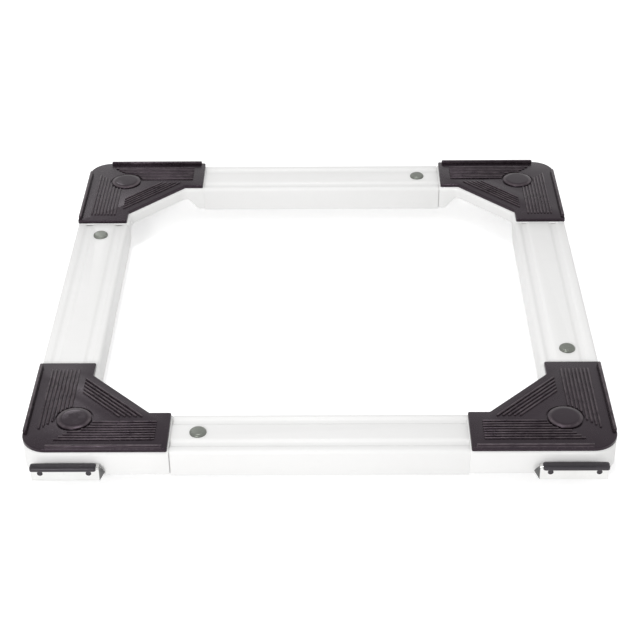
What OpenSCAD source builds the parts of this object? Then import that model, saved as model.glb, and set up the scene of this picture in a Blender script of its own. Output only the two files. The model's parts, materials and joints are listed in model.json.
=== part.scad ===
// Adjustable trolley that carries a washing machine, a dishwasher or a refrigerator.
// Four corner units slide on each other. Each has an outer channel along one side of the frame
// and an inner channel, along the next side, that runs inside its neighbour's outer channel.
// The front corners carry fixed rollers with brake pedals, the rear corners carry swivel casters.

/* [Frame] */
// Outside width of the closed frame
closed_w = 450; // [440:2:500]
// Outside depth of the closed frame
closed_d = 448; // [440:2:500]
// Length of an inner channel that stays in the outer one when the frame is open
overlap = 46; // [40:1:90]
// Height of the steel top above the floor
steel_top = 36; // [35.5:0.5:40]
// Thickness of the pressed sheet
sheet = 1.2; // [1:0.05:1.3]
// Play between an inner channel and the outer channel around it
slide_gap = 0.4; // [0.3:0.05:0.5]

/* [Channels] */
// Outside width of an outer channel
channel_w = 47; // [46.5:0.5:48]
// Depth of an outer channel's side walls
skirt = 22.8; // [22:0.2:24]
// Outside radius of the bends along a channel
bend_r = 3.2; // [3.2:0.1:4]
// Middle of the first pressed groove, from the outer face
groove_in = 11; // [10:0.5:12]
// Middle of the second groove, from the inner face
groove_out = 9; // [8.5:0.5:10]
// Width of a groove at the top
groove_w = 9; // [8:0.5:10]
// Width of a groove's sloping side
groove_flank = 2.4; // [2:0.1:3]
// Depth of a groove
groove_d = 1.5; // [1:0.1:1.8]
// Open seam between an outer channel's free end and the next corner
seam = 0.8; // [0.5:0.1:1.5]
// Length of the corner's tongue inside its outer channel
tongue_l = 12; // [8:1:14]
// How much shorter an inner channel's side walls are
inner_lift = 1.2; // [0.8:0.1:2]

/* [Corners] */
// Length of a corner pressing's arms, from the outer corner
arm_l = 112; // [112:0.5:116]
// Radius of the outer corner
corner_r = 20; // [16:0.5:24]
// Where the slanted inner edge leaves an arm, from the outer corner
gusset_at = 94; // [88:0.5:96]
// Depth of the wall along the slanted inner edge
gusset_drop = 11; // [9:0.5:13]
// Depth of a corner pressing's side walls
corner_drop = 21.5; // [21:0.1:22]

/* [Pads] */
// Distance from the end of a corner's arm back to the end of its pad
pad_short = 1; // [0.5:0.5:4]
// How much narrower a pad's arms are than the corner's
pad_narrow = 2; // [1:0.5:3]
// Thickness of a pad's flat part
pad_t = 3; // [2.5:0.1:4]
// Width of the lip along a pad's outer edges
lip_w = 3; // [2.5:0.1:4]
// Height of the lip above the pad's flat part
lip_h = 2.6; // [2:0.1:3.2]
// Number of ribs along each arm
rib_count = 8; // [6:1:8]
// Distance from the outer edge to the first rib
rib_first = 11.5; // [10:0.5:12]
// Distance between ribs
rib_pitch = 3.05; // [2.6:0.05:3.2]
// Width of a rib
rib_w = 1.8; // [1.4:0.1:2]
// Height of a rib
rib_h = 0.9; // [0.6:0.1:1.2]
// Plain length at the end of a pad's arm
rib_margin = 10; // [8:0.5:12]
// Number of slanted ribs
brace_count = 5; // [4:1:5]
// Distance between the slanted ribs
brace_pitch = 3.1; // [2.6:0.1:3.2]
// Radius of the round boss over the wheel
boss_r = 13.6; // [12:0.2:14]
// Height of the round boss above the pad's flat part
boss_h = 1.8; // [1.2:0.1:2.2]
// Width of the groove around the boss
moat_w = 1.4; // [1:0.1:1.8]
// Radius of the pegs that hold a pad
peg_r = 2.9; // [2.5:0.1:3.2]

/* [Wheels] */
// Distance of the wheels' places from both outer faces
wheel_in = 37; // [36:0.5:39]
// Diameter of the tread
wheel_d = 28; // [26:0.5:28.5]
// Width of the tyre
tyre_w = 18; // [14:0.5:18.5]
// Diameter of the hub under the tyre
hub_d = 19; // [17:0.5:21]
// Width of the hub between its bosses' faces
hub_w = 20.8; // [20:0.1:21]
// Diameter of the wheel axles
axle_d = 6; // [5:0.25:6.5]
// Thickness of the brackets and forks
plate_t = 1.5; // [1.2:0.1:1.5]
// How far a caster's wheel trails behind its pivot
trail = 9; // [8:0.5:10]
// Diameter of a caster's king pin
kingpin_d = 8; // [7:0.5:9]
// Radius of a caster's fixed plate
swivel_r = 18; // [16:0.5:19]

/* [Brake pedals] */
// Width of the pedal plate
pedal_w = 51.5; // [48:0.5:54]
// Distance of the pedal plate from the frame's side
pedal_from = 8.5; // [7:0.5:10]
// How far the pedal plate stands in front of the frame
pedal_reach = 7; // [6.5:0.1:8]
// Drop of the pedal's top below the steel top
pedal_drop = 9; // [8.5:0.1:10]
// Height of the pedal plate
pedal_h = 11.6; // [11:0.1:12]
// Thickness of the rubber on the pedal
grip_t = 1; // [0.8:0.1:1.4]
// Diameter of the pedal's pivot pin
pivot_d = 4; // [3.5:0.1:4.5]
// Distance of the pivot behind the front face
pivot_in = 13; // [12.5:0.1:13.5]
// Drop of the pivot below the steel top
pivot_drop = 16.5; // [16:0.1:17]
// Angle that the pedal turns through when it is pressed
pedal_angle = 14; // [10:1:15]
// Thickness of the rubber brake shoe
shoe_t = 4; // [3:0.1:4.5]
// Width of the brake shoe
shoe_w = 17; // [12:0.5:18]

/* [Screws] */
// Diameter of the clamp screws
screw_d = 6; // [5:0.25:6.5]
// Diameter of a clamp screw's head
screw_head_d = 13; // [11:0.5:14]
// Height of a clamp screw's head
screw_head_h = 2.2; // [1.8:0.1:3]
// Distance of a clamp screw from its channel's free end
screw_in = 20; // [16:0.5:24]

/* [Hidden] */
$fn = 64;

// Running clearance of pins and axles in their holes
running = 0.05;
// Clearance of parts that are fixed together
fitted = 0.02;
// Clearance of screws and pegs in sheet metal
loose = 0.2;
// Gap kept between faces that slide on each other
face_gap = 0.1;
// Reach of a cut past the faces that it goes through
past = 1;
// Steps that draw a bend, a groove's side, the curve of an arm's inner wall and small rounds
bend_steps = 6;
flank_steps = 5;
scoop_steps = 10;
rib_steps = 6;
lip_steps = 3;
dome_steps = 5;

// Heights above the floor
under = steel_top - sheet;
bracket_under = under - plate_t;
pad_top = steel_top + pad_t;
wheel_r = wheel_d / 2;
axle_r = axle_d / 2;

// Depth by which the inner channel lies inside the outer one
nest = sheet + slide_gap;
inner_drop = skirt - inner_lift;
channel_mid = channel_w / 2;
pad_l = arm_l - pad_short;
pad_w = channel_w - pad_narrow;
// Tongue: just inside the outer channel's walls and under its grooves
tongue_inset = sheet + face_gap;
collar_l = 4;
// Length over which an arm's inner wall falls from the shallow to the full depth
scoop_l = arm_l - gusset_at - 2;
// First end of an inner channel, clear of the wheel at its widest turn
wheel_room = 6;
inner_start = wheel_in + trail + wheel_r + wheel_room;
// Raised weld spots that join an inner channel to its corner
weld_in = 12;
weld_pitch = 20;
weld_r = 4;
// Distance between an inner channel's tip and the tongue that stops it
stop_gap = 2;

// The pad's ribs start on slanted lines that run past the boss
rib_stagger = 13;
brace_in = 39.5;
// Distance of the first slanted rib from the slanted edge, measured along an arm
brace_back = 28;
brace_first = gusset_at + pad_w - brace_back;
// Depth by which the ribs and the lips are sunk in the pad
rib_sink = 0.2;
lip_sink = 0.5;
lip_start = corner_r - lip_sink;
lip_margin = 3.5;
lip_edge = 0.2;
lip_foot = 0.4;
peg_places = [[60.5, 27], [27, 60.5], [58, 58]];
peg_head_r = peg_r + 1.3;
peg_head_h = 1.8;

// Fixed rollers and casters
cheek_half = hub_w / 2 + 0.2;
cheek_round = axle_r + 2.5;
hub_boss_r = axle_r + 2;
axle_head_r = axle_r + 1.2;
rivet_head = 1;
// Room for the plastic washer between a caster's plate and its fork
washer_room = 2;
washer_t = washer_room - 2 * running;
fork_top = bracket_under - washer_room;
fork_inset = 4;
fork_half = swivel_r - fork_inset;
roller_over = 3;
roller_half = cheek_round + roller_over;
king_r = kingpin_d / 2;
king_head_r = king_r + 2.3;
king_head_h = 1.1;
rivet_r = 1.8;
rivet_cap_r = 3.2;
rivet_cap_h = 1.1;
rivet_out = 7;
roller_rivets = [for (a = [-rivet_out, rivet_out], b = [-rivet_out, rivet_out])
    [wheel_in + a, wheel_in + b]];
pedal_rivets = [[24, pivot_in], [44.5, pivot_in]];

// Brake pedal
pivot_z = steel_top - pivot_drop;
pivot_r = pivot_d / 2;
grip_top = steel_top - pedal_drop;
plate_top = grip_top - grip_t;
plate_bottom = plate_top - pedal_h;
flange_back = 1.5;
lever_from = 18.5;
lever_w = 31.5;
cheek_front = 4;
// Distance of the lever's edges from its pivot, and sizes of the bracket around it
lever_edge = 4;
pivot_boss_r = pivot_r + 2.5;
pin_head_r = pivot_r + 1;
bracket_half = 7;
bracket_ear_half = 6;
leg_bottom = 5;
shoe_h = 7;
brake_rest = 0.15;
// Where the brake shoe's face stands behind the pivot: it stops just short of the turned tread
shoe_face = (wheel_in - pivot_in) * cos(pedal_angle) - (pivot_z - wheel_r) * sin(pedal_angle)
    - wheel_r - brake_rest;
leg_in = pivot_in + shoe_face - shoe_t;
ear_back = 5.4;
ear_turn = 35;
ear_top = 2.2;
hole_r = 2.1;
hole_in = [7, 8];
hole_drop = 4.6;
ear_gap = 1;
flange_in = ear_gap + plate_t;
notch_gap = 1.5;

// Clamp screw
screw_r = screw_d / 2;
washer_gap = 0.25;
clamp_washer_t = 1.2;
clamp_washer_r = 6.5;
nut_h = 5;
nut_flats = 10;
screw_tail = 2;

// The origin lies on the floor under the middle of the whole outline, pedals included
grip_over = 1.6;
grip_lap = 0.2;
grip_end = 0.6;
grip_short = 2.2;
grip_front = pedal_reach + grip_over;
shift_y = grip_front / 2;

// Corners are counted from the front left one, anticlockwise from above
FRONT_LEFT = 0;
FRONT_RIGHT = 1;
REAR_RIGHT = 2;
REAR_LEFT = 3;
LEFT = -1;
RIGHT = 1;

// Length of the side that a corner's outer arm lies along, and of the one along its inner arm
function outer_side(i) = i % 2 == 0 ? closed_d : closed_w;
function inner_side(i) = i % 2 == 0 ? closed_w : closed_d;
function channel_end(i) = outer_side(i) - arm_l - seam;
function inner_tip(i) = inner_side(i) - arm_l - tongue_l - stop_gap;
// How far the frame opens along a corner's inner arm
function travel(i) = inner_tip(i) - overlap - arm_l - seam;
// Place of the neighbour's clamp screw along an inner channel when the frame is closed
function screw_from() = arm_l + seam + screw_in;

function reversed(v) = [for (k = [len(v) - 1 : -1 : 0]) v[k]];
function arc(cx, cy, r, a0, a1, n) = [
    for (k = [0 : n])
        [cx + r * cos(a0 + (a1 - a0) * k / n), cy + r * sin(a0 + (a1 - a0) * k / n)]
];
// Smooth fall from 0 to 1
function ease(x) = (1 - cos(180 * x)) / 2;

// A pressed groove seen along the channel, with its middle at s = at and its rims at z = top
function groove_line(at, top) = concat(
    [for (k = [0 : flank_steps])
        [at - groove_w / 2 + groove_flank * k / flank_steps, top - groove_d * ease(k / flank_steps)]],
    [for (k = [flank_steps : -1 : 0])
        [at + groove_w / 2 - groove_flank * k / flank_steps, top - groove_d * ease(k / flank_steps)]]
);

// Outline of a channel that lies e inside the outermost one: up one wall, across, down the other
function channel_line(e, drop) = concat(
    [[e, -drop]],
    arc(bend_r, -bend_r, bend_r - e, 180, 90, bend_steps),
    groove_line(groove_in, -e),
    groove_line(channel_w - groove_out, -e),
    arc(channel_w - bend_r, -bend_r, bend_r - e, 90, 0, bend_steps),
    [[channel_w - e, -drop]]
);

// The same with no grooves, and with its top lowered
function plain_line(e, drop, lower = 0) = concat(
    [[e, -drop]],
    arc(bend_r, -bend_r - lower, bend_r - e, 180, 90, bend_steps),
    arc(channel_w - bend_r, -bend_r - lower, bend_r - e, 90, 0, bend_steps),
    [[channel_w - e, -drop]]
);

// Section of a corner's outer edge, p inwards from the outer face
function edge_line() = concat(
    [[0, -corner_drop]],
    arc(bend_r, -bend_r, bend_r, 180, 90, bend_steps),
    [[bend_r + past, 0], [bend_r + past, -sheet]],
    arc(bend_r, -bend_r, bend_r - sheet, 90, 180, bend_steps),
    [[sheet, -corner_drop]]
);

// Placing

// Puts a corner unit at its corner: x along its inner arm, y along its outer arm
module at_corner(i) {
    x = i == FRONT_LEFT || i == REAR_LEFT ? -closed_w / 2 : closed_w / 2;
    y = i == FRONT_LEFT || i == FRONT_RIGHT ? -closed_d / 2 : closed_d / 2;
    translate([x, y + shift_y, 0]) rotate([0, 0, 90 * i]) children();
}

// Puts hardware at a front corner: x inwards from the side face, y inwards from the front face
module at_front(side) {
    translate([side * closed_w / 2, shift_y - closed_d / 2, 0])
        mirror([side == RIGHT ? 1 : 0, 0, 0]) children();
}

// Puts hardware at a rear corner: x inwards from the side face, y inwards from the rear face
module at_rear(side) {
    translate([side * closed_w / 2, shift_y + closed_d / 2, 0])
        mirror([side == RIGHT ? 1 : 0, 0, 0]) mirror([0, 1, 0]) children();
}

// Runs a section in s and z along y, with s along x
module along_y(from, to) {
    translate([0, to, steel_top]) rotate([90, 0, 0]) linear_extrude(to - from) children();
}

// Runs a section in s and z along x, with s along y
module along_x(from, to) {
    translate([from, 0, steel_top]) rotate([90, 0, 90]) linear_extrude(to - from) children();
}

// Swaps x and y, because a corner's two arms are alike
module swapped() {
    mirror([1, -1, 0]) children();
}

// Shapes that repeat

// Plan of a corner with two arms and a slanted inner edge, drawn in by e from the outer faces
module corner_plan(length, w, e) {
    translate([corner_r, e]) square([length - corner_r, w - e]);
    translate([e, corner_r]) square([w - e, length - corner_r]);
    translate([corner_r, corner_r]) circle(corner_r - e);
    polygon([[corner_r, corner_r], [gusset_at, corner_r], [gusset_at, w], [w, gusset_at],
        [corner_r, gusset_at]]);
}

// The room under the curve of an arm's inner wall, for an arm along x
module scoop(from) {
    curve = [for (k = [0 : scoop_steps])
        [gusset_at + scoop_l * k / scoop_steps,
            -gusset_drop - (skirt - gusset_drop) * ease(k / scoop_steps)]];
    translate([0, channel_w + past, steel_top]) rotate([90, 0, 0])
        linear_extrude(nest + sheet + 2 * past)
            polygon(concat([[from, -gusset_drop]], curve,
                [[gusset_at + scoop_l, -skirt - past], [from, -skirt - past]]));
}

// A rubber rib along x, half round
module rib(length) {
    rotate([90, 0, 90]) linear_extrude(length)
        polygon([for (k = [0 : rib_steps]) [rib_w / 2 * cos(180 * k / rib_steps),
            rib_h * sin(180 * k / rib_steps) - (k % rib_steps == 0 ? rib_sink : 0)]]);
}

// The raised lip along one outer edge of a pad, along x
module lip() {
    soft = lip_w / 3;
    section = concat(
        [[lip_edge, -lip_sink]],
        arc(lip_edge + soft, lip_h - soft, soft, 180, 90, lip_steps),
        arc(lip_w - soft, lip_h - soft, soft, 90, 0, lip_steps),
        [[lip_w + lip_foot, 0], [lip_w + lip_foot, -lip_sink]]
    );
    translate([lip_start, 0, pad_top]) rotate([90, 0, 90])
        linear_extrude(pad_l - lip_margin - lip_start) polygon(section);
}

// A wheel's hub, with its axle along x and its middle at the origin
module hub_shape() {
    rotate([0, 90, 0]) difference() {
        union() {
            cylinder(h = tyre_w, d = hub_d, center = true);
            cylinder(h = hub_w, r = hub_boss_r, center = true);
        }
        cylinder(h = hub_w + past, r = axle_r + running, center = true);
    }
}

// A tyre with rounded shoulders around the hub
module tyre_shape() {
    shoulder = 2;
    rotate([0, 90, 0]) rotate_extrude()
        polygon(concat(
            [[hub_d / 2, -tyre_w / 2]],
            arc(wheel_r - shoulder, shoulder - tyre_w / 2, shoulder, -90, 0, dome_steps),
            arc(wheel_r - shoulder, tyre_w / 2 - shoulder, shoulder, 0, 90, dome_steps),
            [[hub_d / 2, tyre_w / 2]]
        ));
}

// An axle along x with a flat head on each side of a fork
module axle_shape() {
    reach = cheek_half + plate_t;
    rotate([0, 90, 0]) {
        cylinder(h = 2 * reach, r = axle_r, center = true);
        for (z = [-reach - rivet_head, reach])
            translate([0, 0, z]) cylinder(h = rivet_head, r = axle_head_r);
    }
}

// One side of a fork, from z = top down to the axle, which lies back behind the fork's middle
module fork_cheek(back, top, half) {
    rotate([90, 0, 90]) linear_extrude(plate_t) difference() {
        union() {
            translate([back, wheel_r]) circle(cheek_round);
            polygon([[-half, top], [half, top], [back + cheek_round, wheel_r],
                [back - cheek_round, wheel_r]]);
        }
        translate([back, wheel_r]) circle(axle_r + fitted);
    }
}

// Rivets through a bracket and the corner sheet, flush on top
module rivets(places) {
    for (p = places) translate([p[0], p[1], 0]) {
        translate([0, 0, bracket_under]) cylinder(h = steel_top - bracket_under, r = rivet_r);
        translate([0, 0, bracket_under - rivet_cap_h]) cylinder(h = rivet_cap_h, r = rivet_cap_r);
    }
}

// Holes for those rivets
module rivet_holes(places) {
    for (p = places) translate([p[0], p[1], bracket_under - past])
        cylinder(h = sheet + plate_t + 2 * past, r = rivet_r + fitted);
}

// Frame

// Pressed corner: flat top, side walls, a shallow wall along the slanted edge, and a tongue
module corner_pressing(i) {
    front = i == FRONT_LEFT || i == FRONT_RIGHT;
    side = i == FRONT_LEFT || i == REAR_LEFT ? LEFT : RIGHT;
    color("white") difference() {
        at_corner(i) difference() {
            union() {
                translate([0, 0, under]) linear_extrude(sheet) corner_plan(arm_l, channel_w, bend_r);
                corner_edges();
                corner_inner_walls();
                along_y(arm_l - collar_l, arm_l) polygon(concat(plain_line(0, corner_drop),
                    reversed(plain_line(tongue_inset + sheet, corner_drop, groove_d))));
                along_y(arm_l - collar_l, arm_l + tongue_l)
                    polygon(concat(plain_line(tongue_inset, corner_drop - past, groove_d),
                        reversed(plain_line(tongue_inset + sheet, corner_drop - past, groove_d))));
            }
            scoop(gusset_at - collar_l);
            swapped() scoop(gusset_at - collar_l);
            for (p = peg_places) translate([p[0], p[1], under - past])
                cylinder(h = sheet + 2 * past, r = peg_r + face_gap);
        }
        if (front) at_front(side) {
            pedal_notch();
            rivet_holes(roller_rivets);
            rivet_holes(pedal_rivets);
        }
        if (!front) at_rear(side) translate([wheel_in, wheel_in, under - past])
            cylinder(h = sheet + 2 * past, r = king_r + fitted);
    }
}

// Rolled outer edge of a corner with its outer walls
module corner_edges() {
    along_x(corner_r, arm_l) polygon(edge_line());
    swapped() along_x(corner_r, arm_l) polygon(edge_line());
    translate([corner_r, corner_r, steel_top]) rotate([0, 0, 180]) rotate_extrude(angle = 90)
        polygon([for (p = edge_line()) [corner_r - p[0], p[1]]]);
}

// Ends of the arms with both walls, and the wall along the slanted edge
module corner_inner_walls() {
    section = concat(plain_line(0, corner_drop), reversed(plain_line(sheet, corner_drop)));
    along_x(gusset_at - sheet / 2, arm_l) polygon(section);
    along_y(gusset_at - sheet / 2, arm_l) polygon(section);
    in = sheet * (sqrt(2) - 1);
    translate([0, 0, steel_top - gusset_drop]) linear_extrude(gusset_drop)
        polygon([[channel_w, gusset_at], [gusset_at, channel_w],
            [gusset_at - in, channel_w - sheet], [channel_w - sheet, gusset_at - in]]);
}

// Room in the front wall for the pedal's lever, over its whole travel
module pedal_notch() {
    top = pivot_z + plate_t / 2 + ear_gap;
    translate([lever_from - notch_gap, -past, steel_top - corner_drop - past])
        cube([lever_w + 2 * notch_gap, sheet + 2 * past, top - steel_top + corner_drop + past]);
}

// Channel with two pressed grooves, fixed on its corner's tongue
module outer_channel(i) {
    color("white") at_corner(i) difference() {
        along_y(arm_l, channel_end(i))
            polygon(concat(channel_line(0, skirt), reversed(channel_line(sheet, skirt))));
        translate([channel_mid, channel_end(i) - screw_in, under - past])
            cylinder(h = sheet + 2 * past, r = screw_r + loose);
    }
}

// Channel that slides inside the next corner's outer channel, with the clamp screw's slot
module inner_channel(i) {
    slot_r = screw_r + loose;
    from = screw_from() - loose;
    to = screw_from() + travel(i) + loose;
    color("white") at_corner(i) difference() {
        union() {
            along_x(inner_start, inner_tip(i)) polygon(concat(channel_line(nest, inner_drop),
                reversed(channel_line(nest + sheet, inner_drop))));
            for (x = [weld_in, weld_in + weld_pitch])
                translate([inner_start + x, channel_mid, steel_top - nest - sheet / 2])
                    cylinder(h = slide_gap + sheet / 2, r = weld_r);
        }
        scoop(inner_start - past);
        translate([from, channel_mid - slot_r, under - nest - past])
            cube([to - from, 2 * slot_r, nest + 2 * past]);
        for (x = [from, to]) translate([x, channel_mid, under - nest - past])
            cylinder(h = nest + 2 * past, r = slot_r);
    }
}

// Clamp screw with a low round head, through an outer channel and the slot under it
module clamp_screw(i) {
    nut_bottom = steel_top - nest - sheet - washer_gap - clamp_washer_t - nut_h;
    edge = screw_head_h / 3;
    color("silver") at_corner(i) translate([channel_mid, channel_end(i) - screw_in, 0]) {
        translate([0, 0, nut_bottom - screw_tail])
            cylinder(h = steel_top - nut_bottom + screw_tail, r = screw_r);
        translate([0, 0, steel_top]) rotate_extrude()
            polygon(concat(
                [[0, 0], [screw_head_d / 2, 0], [screw_head_d / 2, edge]],
                [for (k = [1 : dome_steps]) [screw_head_d / 2 * cos(90 * k / dome_steps),
                    edge + (screw_head_h - edge) * sin(90 * k / dome_steps)]]
            ));
    }
}

// Washer and nut of a clamp screw, under the inner channel
module clamp_nut(i) {
    washer_top = steel_top - nest - sheet - washer_gap;
    color("gainsboro") at_corner(i) translate([channel_mid, channel_end(i) - screw_in, 0])
        difference() {
            union() {
                translate([0, 0, washer_top - clamp_washer_t])
                    cylinder(h = clamp_washer_t, r = clamp_washer_r);
                translate([0, 0, washer_top - clamp_washer_t - nut_h])
                    cylinder(h = nut_h + sheet / 2, r = nut_flats / sqrt(3), $fn = 6);
            }
            translate([0, 0, washer_top - clamp_washer_t - nut_h - past])
                cylinder(h = nut_h + clamp_washer_t + 2 * past, r = screw_r + fitted);
        }
}

// Rubber pad on a corner: flat base, lips, ribs, a round boss, and pegs through the sheet
module pad(i) {
    color([0.2, 0.17, 0.18]) at_corner(i) {
        difference() {
            union() {
                translate([0, 0, steel_top]) linear_extrude(pad_t) corner_plan(pad_l, pad_w, 0);
                difference() {
                    union() {
                        pad_ribs();
                        swapped() pad_ribs();
                    }
                    translate([wheel_in, wheel_in, pad_top - past])
                        cylinder(h = rib_h + 2 * past, r = boss_r + moat_w);
                }
                pad_braces();
                lip();
                swapped() lip();
            }
            translate([wheel_in, wheel_in, pad_top - boss_h / 2])
                cylinder(h = boss_h, r = boss_r + moat_w);
        }
        pad_boss();
        for (p = peg_places) translate([p[0], p[1], 0]) {
            translate([0, 0, under]) cylinder(h = sheet + pad_t / 2, r = peg_r);
            translate([0, 0, under - peg_head_h]) cylinder(h = peg_head_h, r = peg_head_r);
        }
    }
}

// Ribs along one arm, each starting further out than the one before
module pad_ribs() {
    for (k = [0 : rib_count - 1]) {
        s = rib_first + rib_pitch * k;
        translate([s + rib_stagger, s, pad_top]) rib(pad_l - rib_margin - s - rib_stagger);
    }
}

// Slanted ribs across the pad's inner part
module pad_braces() {
    for (k = [0 : brace_count - 1]) {
        c = brace_first + brace_pitch * sqrt(2) * k;
        translate([brace_in, c - brace_in, pad_top]) rotate([0, 0, -45])
            rib((c - 2 * brace_in) * sqrt(2));
    }
}

// Low round boss with a flat middle and a soft rim, over the wheel
module pad_boss() {
    rim = boss_r / 3;
    edge = boss_h / 4;
    translate([wheel_in, wheel_in, pad_top]) rotate_extrude()
        polygon(concat(
            [[0, -boss_h], [boss_r, -boss_h], [boss_r, edge]],
            [for (k = [1 : dome_steps]) [boss_r - rim + rim * cos(90 * k / dome_steps),
                edge + (boss_h - edge) * sin(90 * k / dome_steps)]],
            [[0, boss_h]]
        ));
}

// Front rollers

// Bracket of a fixed roller, riveted under the corner
module roller_bracket(side) {
    color("silver") at_front(side) difference() {
        union() {
            translate([wheel_in - cheek_half - plate_t, wheel_in - roller_half, bracket_under])
                cube([2 * (cheek_half + plate_t), 2 * roller_half, plate_t]);
            for (x = [-cheek_half - plate_t, cheek_half])
                translate([wheel_in + x, wheel_in, 0])
                    fork_cheek(0, bracket_under + past, roller_half);
        }
        rivet_holes(roller_rivets);
    }
}

module roller_axle(side) {
    color("silver") at_front(side) translate([wheel_in, wheel_in, wheel_r]) axle_shape();
}

module roller_hub(side) {
    color("dimgray") at_front(side) translate([wheel_in, wheel_in, wheel_r]) hub_shape();
}

module roller_tyre(side) {
    color([0.15, 0.15, 0.16]) at_front(side) translate([wheel_in, wheel_in, wheel_r]) tyre_shape();
}

module front_rivets(side) {
    color("silver") at_front(side) {
        rivets(roller_rivets);
        rivets(pedal_rivets);
    }
}

// Brake pedals

// Two flanges that hold the pedal's pivot pin
module pedal_bracket(side) {
    from = lever_from - flange_in;
    w = lever_w + 2 * flange_in;
    color("silver") at_front(side) difference() {
        union() {
            translate([from, pivot_in - bracket_half, bracket_under])
                cube([w, 2 * bracket_half, plate_t]);
            for (x = [from, from + w - plate_t])
                translate([x, pivot_in, 0]) rotate([90, 0, 90]) linear_extrude(plate_t) union() {
                    translate([0, pivot_z]) circle(pivot_boss_r);
                    polygon([[-bracket_ear_half, bracket_under + past],
                        [bracket_ear_half, bracket_under + past],
                        [pivot_boss_r, pivot_z], [-pivot_boss_r, pivot_z]]);
                }
        }
        rivet_holes(pedal_rivets);
        translate([from - past, pivot_in, pivot_z]) rotate([0, 90, 0])
            cylinder(h = w + 2 * past, r = pivot_r + fitted);
    }
}

// Pivot pin with a flat head at each end
module pedal_pin(side) {
    from = lever_from - flange_in;
    w = lever_w + 2 * flange_in;
    color("silver") at_front(side) translate([from, pivot_in, pivot_z]) rotate([0, 90, 0]) {
        cylinder(h = w, r = pivot_r);
        for (z = [-rivet_head, w]) translate([0, 0, z]) cylinder(h = rivet_head, r = pin_head_r);
    }
}

// Pedal plate with its top flange and side ear, and the lever that carries the brake shoe
module pedal_lever(side) {
    color("gainsboro") at_front(side) difference() {
        union() {
            pedal_plate();
            translate([lever_from, -pedal_reach, pivot_z - plate_t / 2])
                cube([lever_w, pedal_reach + cheek_front + lever_edge, plate_t]);
            for (x = [lever_from, lever_from + lever_w - plate_t]) lever_cheek(x);
            translate([lever_from, leg_in - plate_t, leg_bottom])
                cube([lever_w, plate_t, pivot_z - leg_bottom]);
        }
        translate([lever_from - past, pivot_in, pivot_z]) rotate([0, 90, 0])
            cylinder(h = lever_w + 2 * past, r = pivot_r + running);
    }
}

// Front plate with two holes, the flange under the rubber, and the slanted ear at its inner end
module pedal_plate() {
    difference() {
        translate([pedal_from, -pedal_reach, plate_bottom]) cube([pedal_w, plate_t, pedal_h]);
        for (x = [pedal_from + hole_in[0], pedal_from + pedal_w - hole_in[1]])
            translate([x, -pedal_reach - past, plate_top - hole_drop])
                rotate([-90, 0, 0]) cylinder(h = plate_t + 2 * past, r = hole_r);
    }
    translate([pedal_from, -pedal_reach, plate_top - plate_t])
        cube([pedal_w, pedal_reach - flange_back, plate_t]);
    translate([pedal_from + pedal_w, -pedal_reach, 0]) rotate([0, 0, 90 - ear_turn])
        rotate([90, 0, 0]) translate([0, 0, -plate_t]) linear_extrude(plate_t)
            polygon([[0, plate_top], [0, plate_bottom], [ear_back / cos(ear_turn), pivot_z - plate_t / 2],
                [ear_top, plate_top]]);
}

// One side of the lever, with the pivot hole and its lower end at the brake shoe
module lever_cheek(x) {
    translate([x, 0, 0]) rotate([90, 0, 90]) linear_extrude(plate_t)
        polygon([[cheek_front, pivot_z - plate_t / 2], [cheek_front, pivot_z + lever_edge],
            [pivot_in + lever_edge, pivot_z + lever_edge], [pivot_in + lever_edge, pivot_z - lever_edge],
            [leg_in, leg_bottom], [leg_in - plate_t, leg_bottom],
            [pivot_in - lever_edge, pivot_z - lever_edge]]);
}

// Rubber bar over the pedal's top edge, with rounded ends; it stops short of the ear
module pedal_grip(side) {
    turn = 2;
    w = pedal_w + grip_end - grip_short;
    depth = grip_front - flange_back + grip_lap;
    color([0.16, 0.15, 0.16]) at_front(side) difference() {
        translate([pedal_from - grip_end, -grip_front, grip_top - 3 * grip_t]) linear_extrude(3 * grip_t) {
            translate([turn, 0]) square([w - 2 * turn, depth]);
            translate([0, turn]) square([w, depth - 2 * turn]);
            for (x = [turn, w - turn], y = [turn, depth - turn])
                translate([x, y]) circle(turn);
        }
        translate([pedal_from - grip_end - past, -pedal_reach - fitted, plate_top - 3 * grip_t])
            cube([w + 2 * past, depth + past, 3 * grip_t + fitted]);
    }
}

// Rubber block that presses on the roller's tread
module brake_shoe(side) {
    color([0.15, 0.15, 0.16]) at_front(side)
        translate([wheel_in - shoe_w / 2, leg_in, leg_bottom + face_gap]) cube([shoe_w, shoe_t, shoe_h]);
}

// Rear casters

// Round plate fixed under the rear corner by the king pin
module caster_plate(side) {
    color("silver") at_rear(side) translate([wheel_in, wheel_in, bracket_under]) difference() {
        cylinder(h = plate_t, r = swivel_r);
        translate([0, 0, -past]) cylinder(h = plate_t + 2 * past, r = king_r + fitted);
    }
}

// King pin: flush on top, with a head under the fork
module king_pin(side) {
    bottom = fork_top - plate_t - running;
    color("silver") at_rear(side) translate([wheel_in, wheel_in, 0]) {
        translate([0, 0, bottom]) cylinder(h = steel_top - bottom, r = king_r);
        translate([0, 0, bottom - king_head_h]) cylinder(h = king_head_h, r = king_head_r);
    }
}

// Plastic washer that the fork turns on
module thrust_washer(side) {
    color("ivory") at_rear(side)
        translate([wheel_in, wheel_in, fork_top + running]) difference() {
            cylinder(h = washer_t, r = fork_half);
            translate([0, 0, -past]) cylinder(h = washer_t + 2 * past, r = king_r + running);
        }
}

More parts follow.
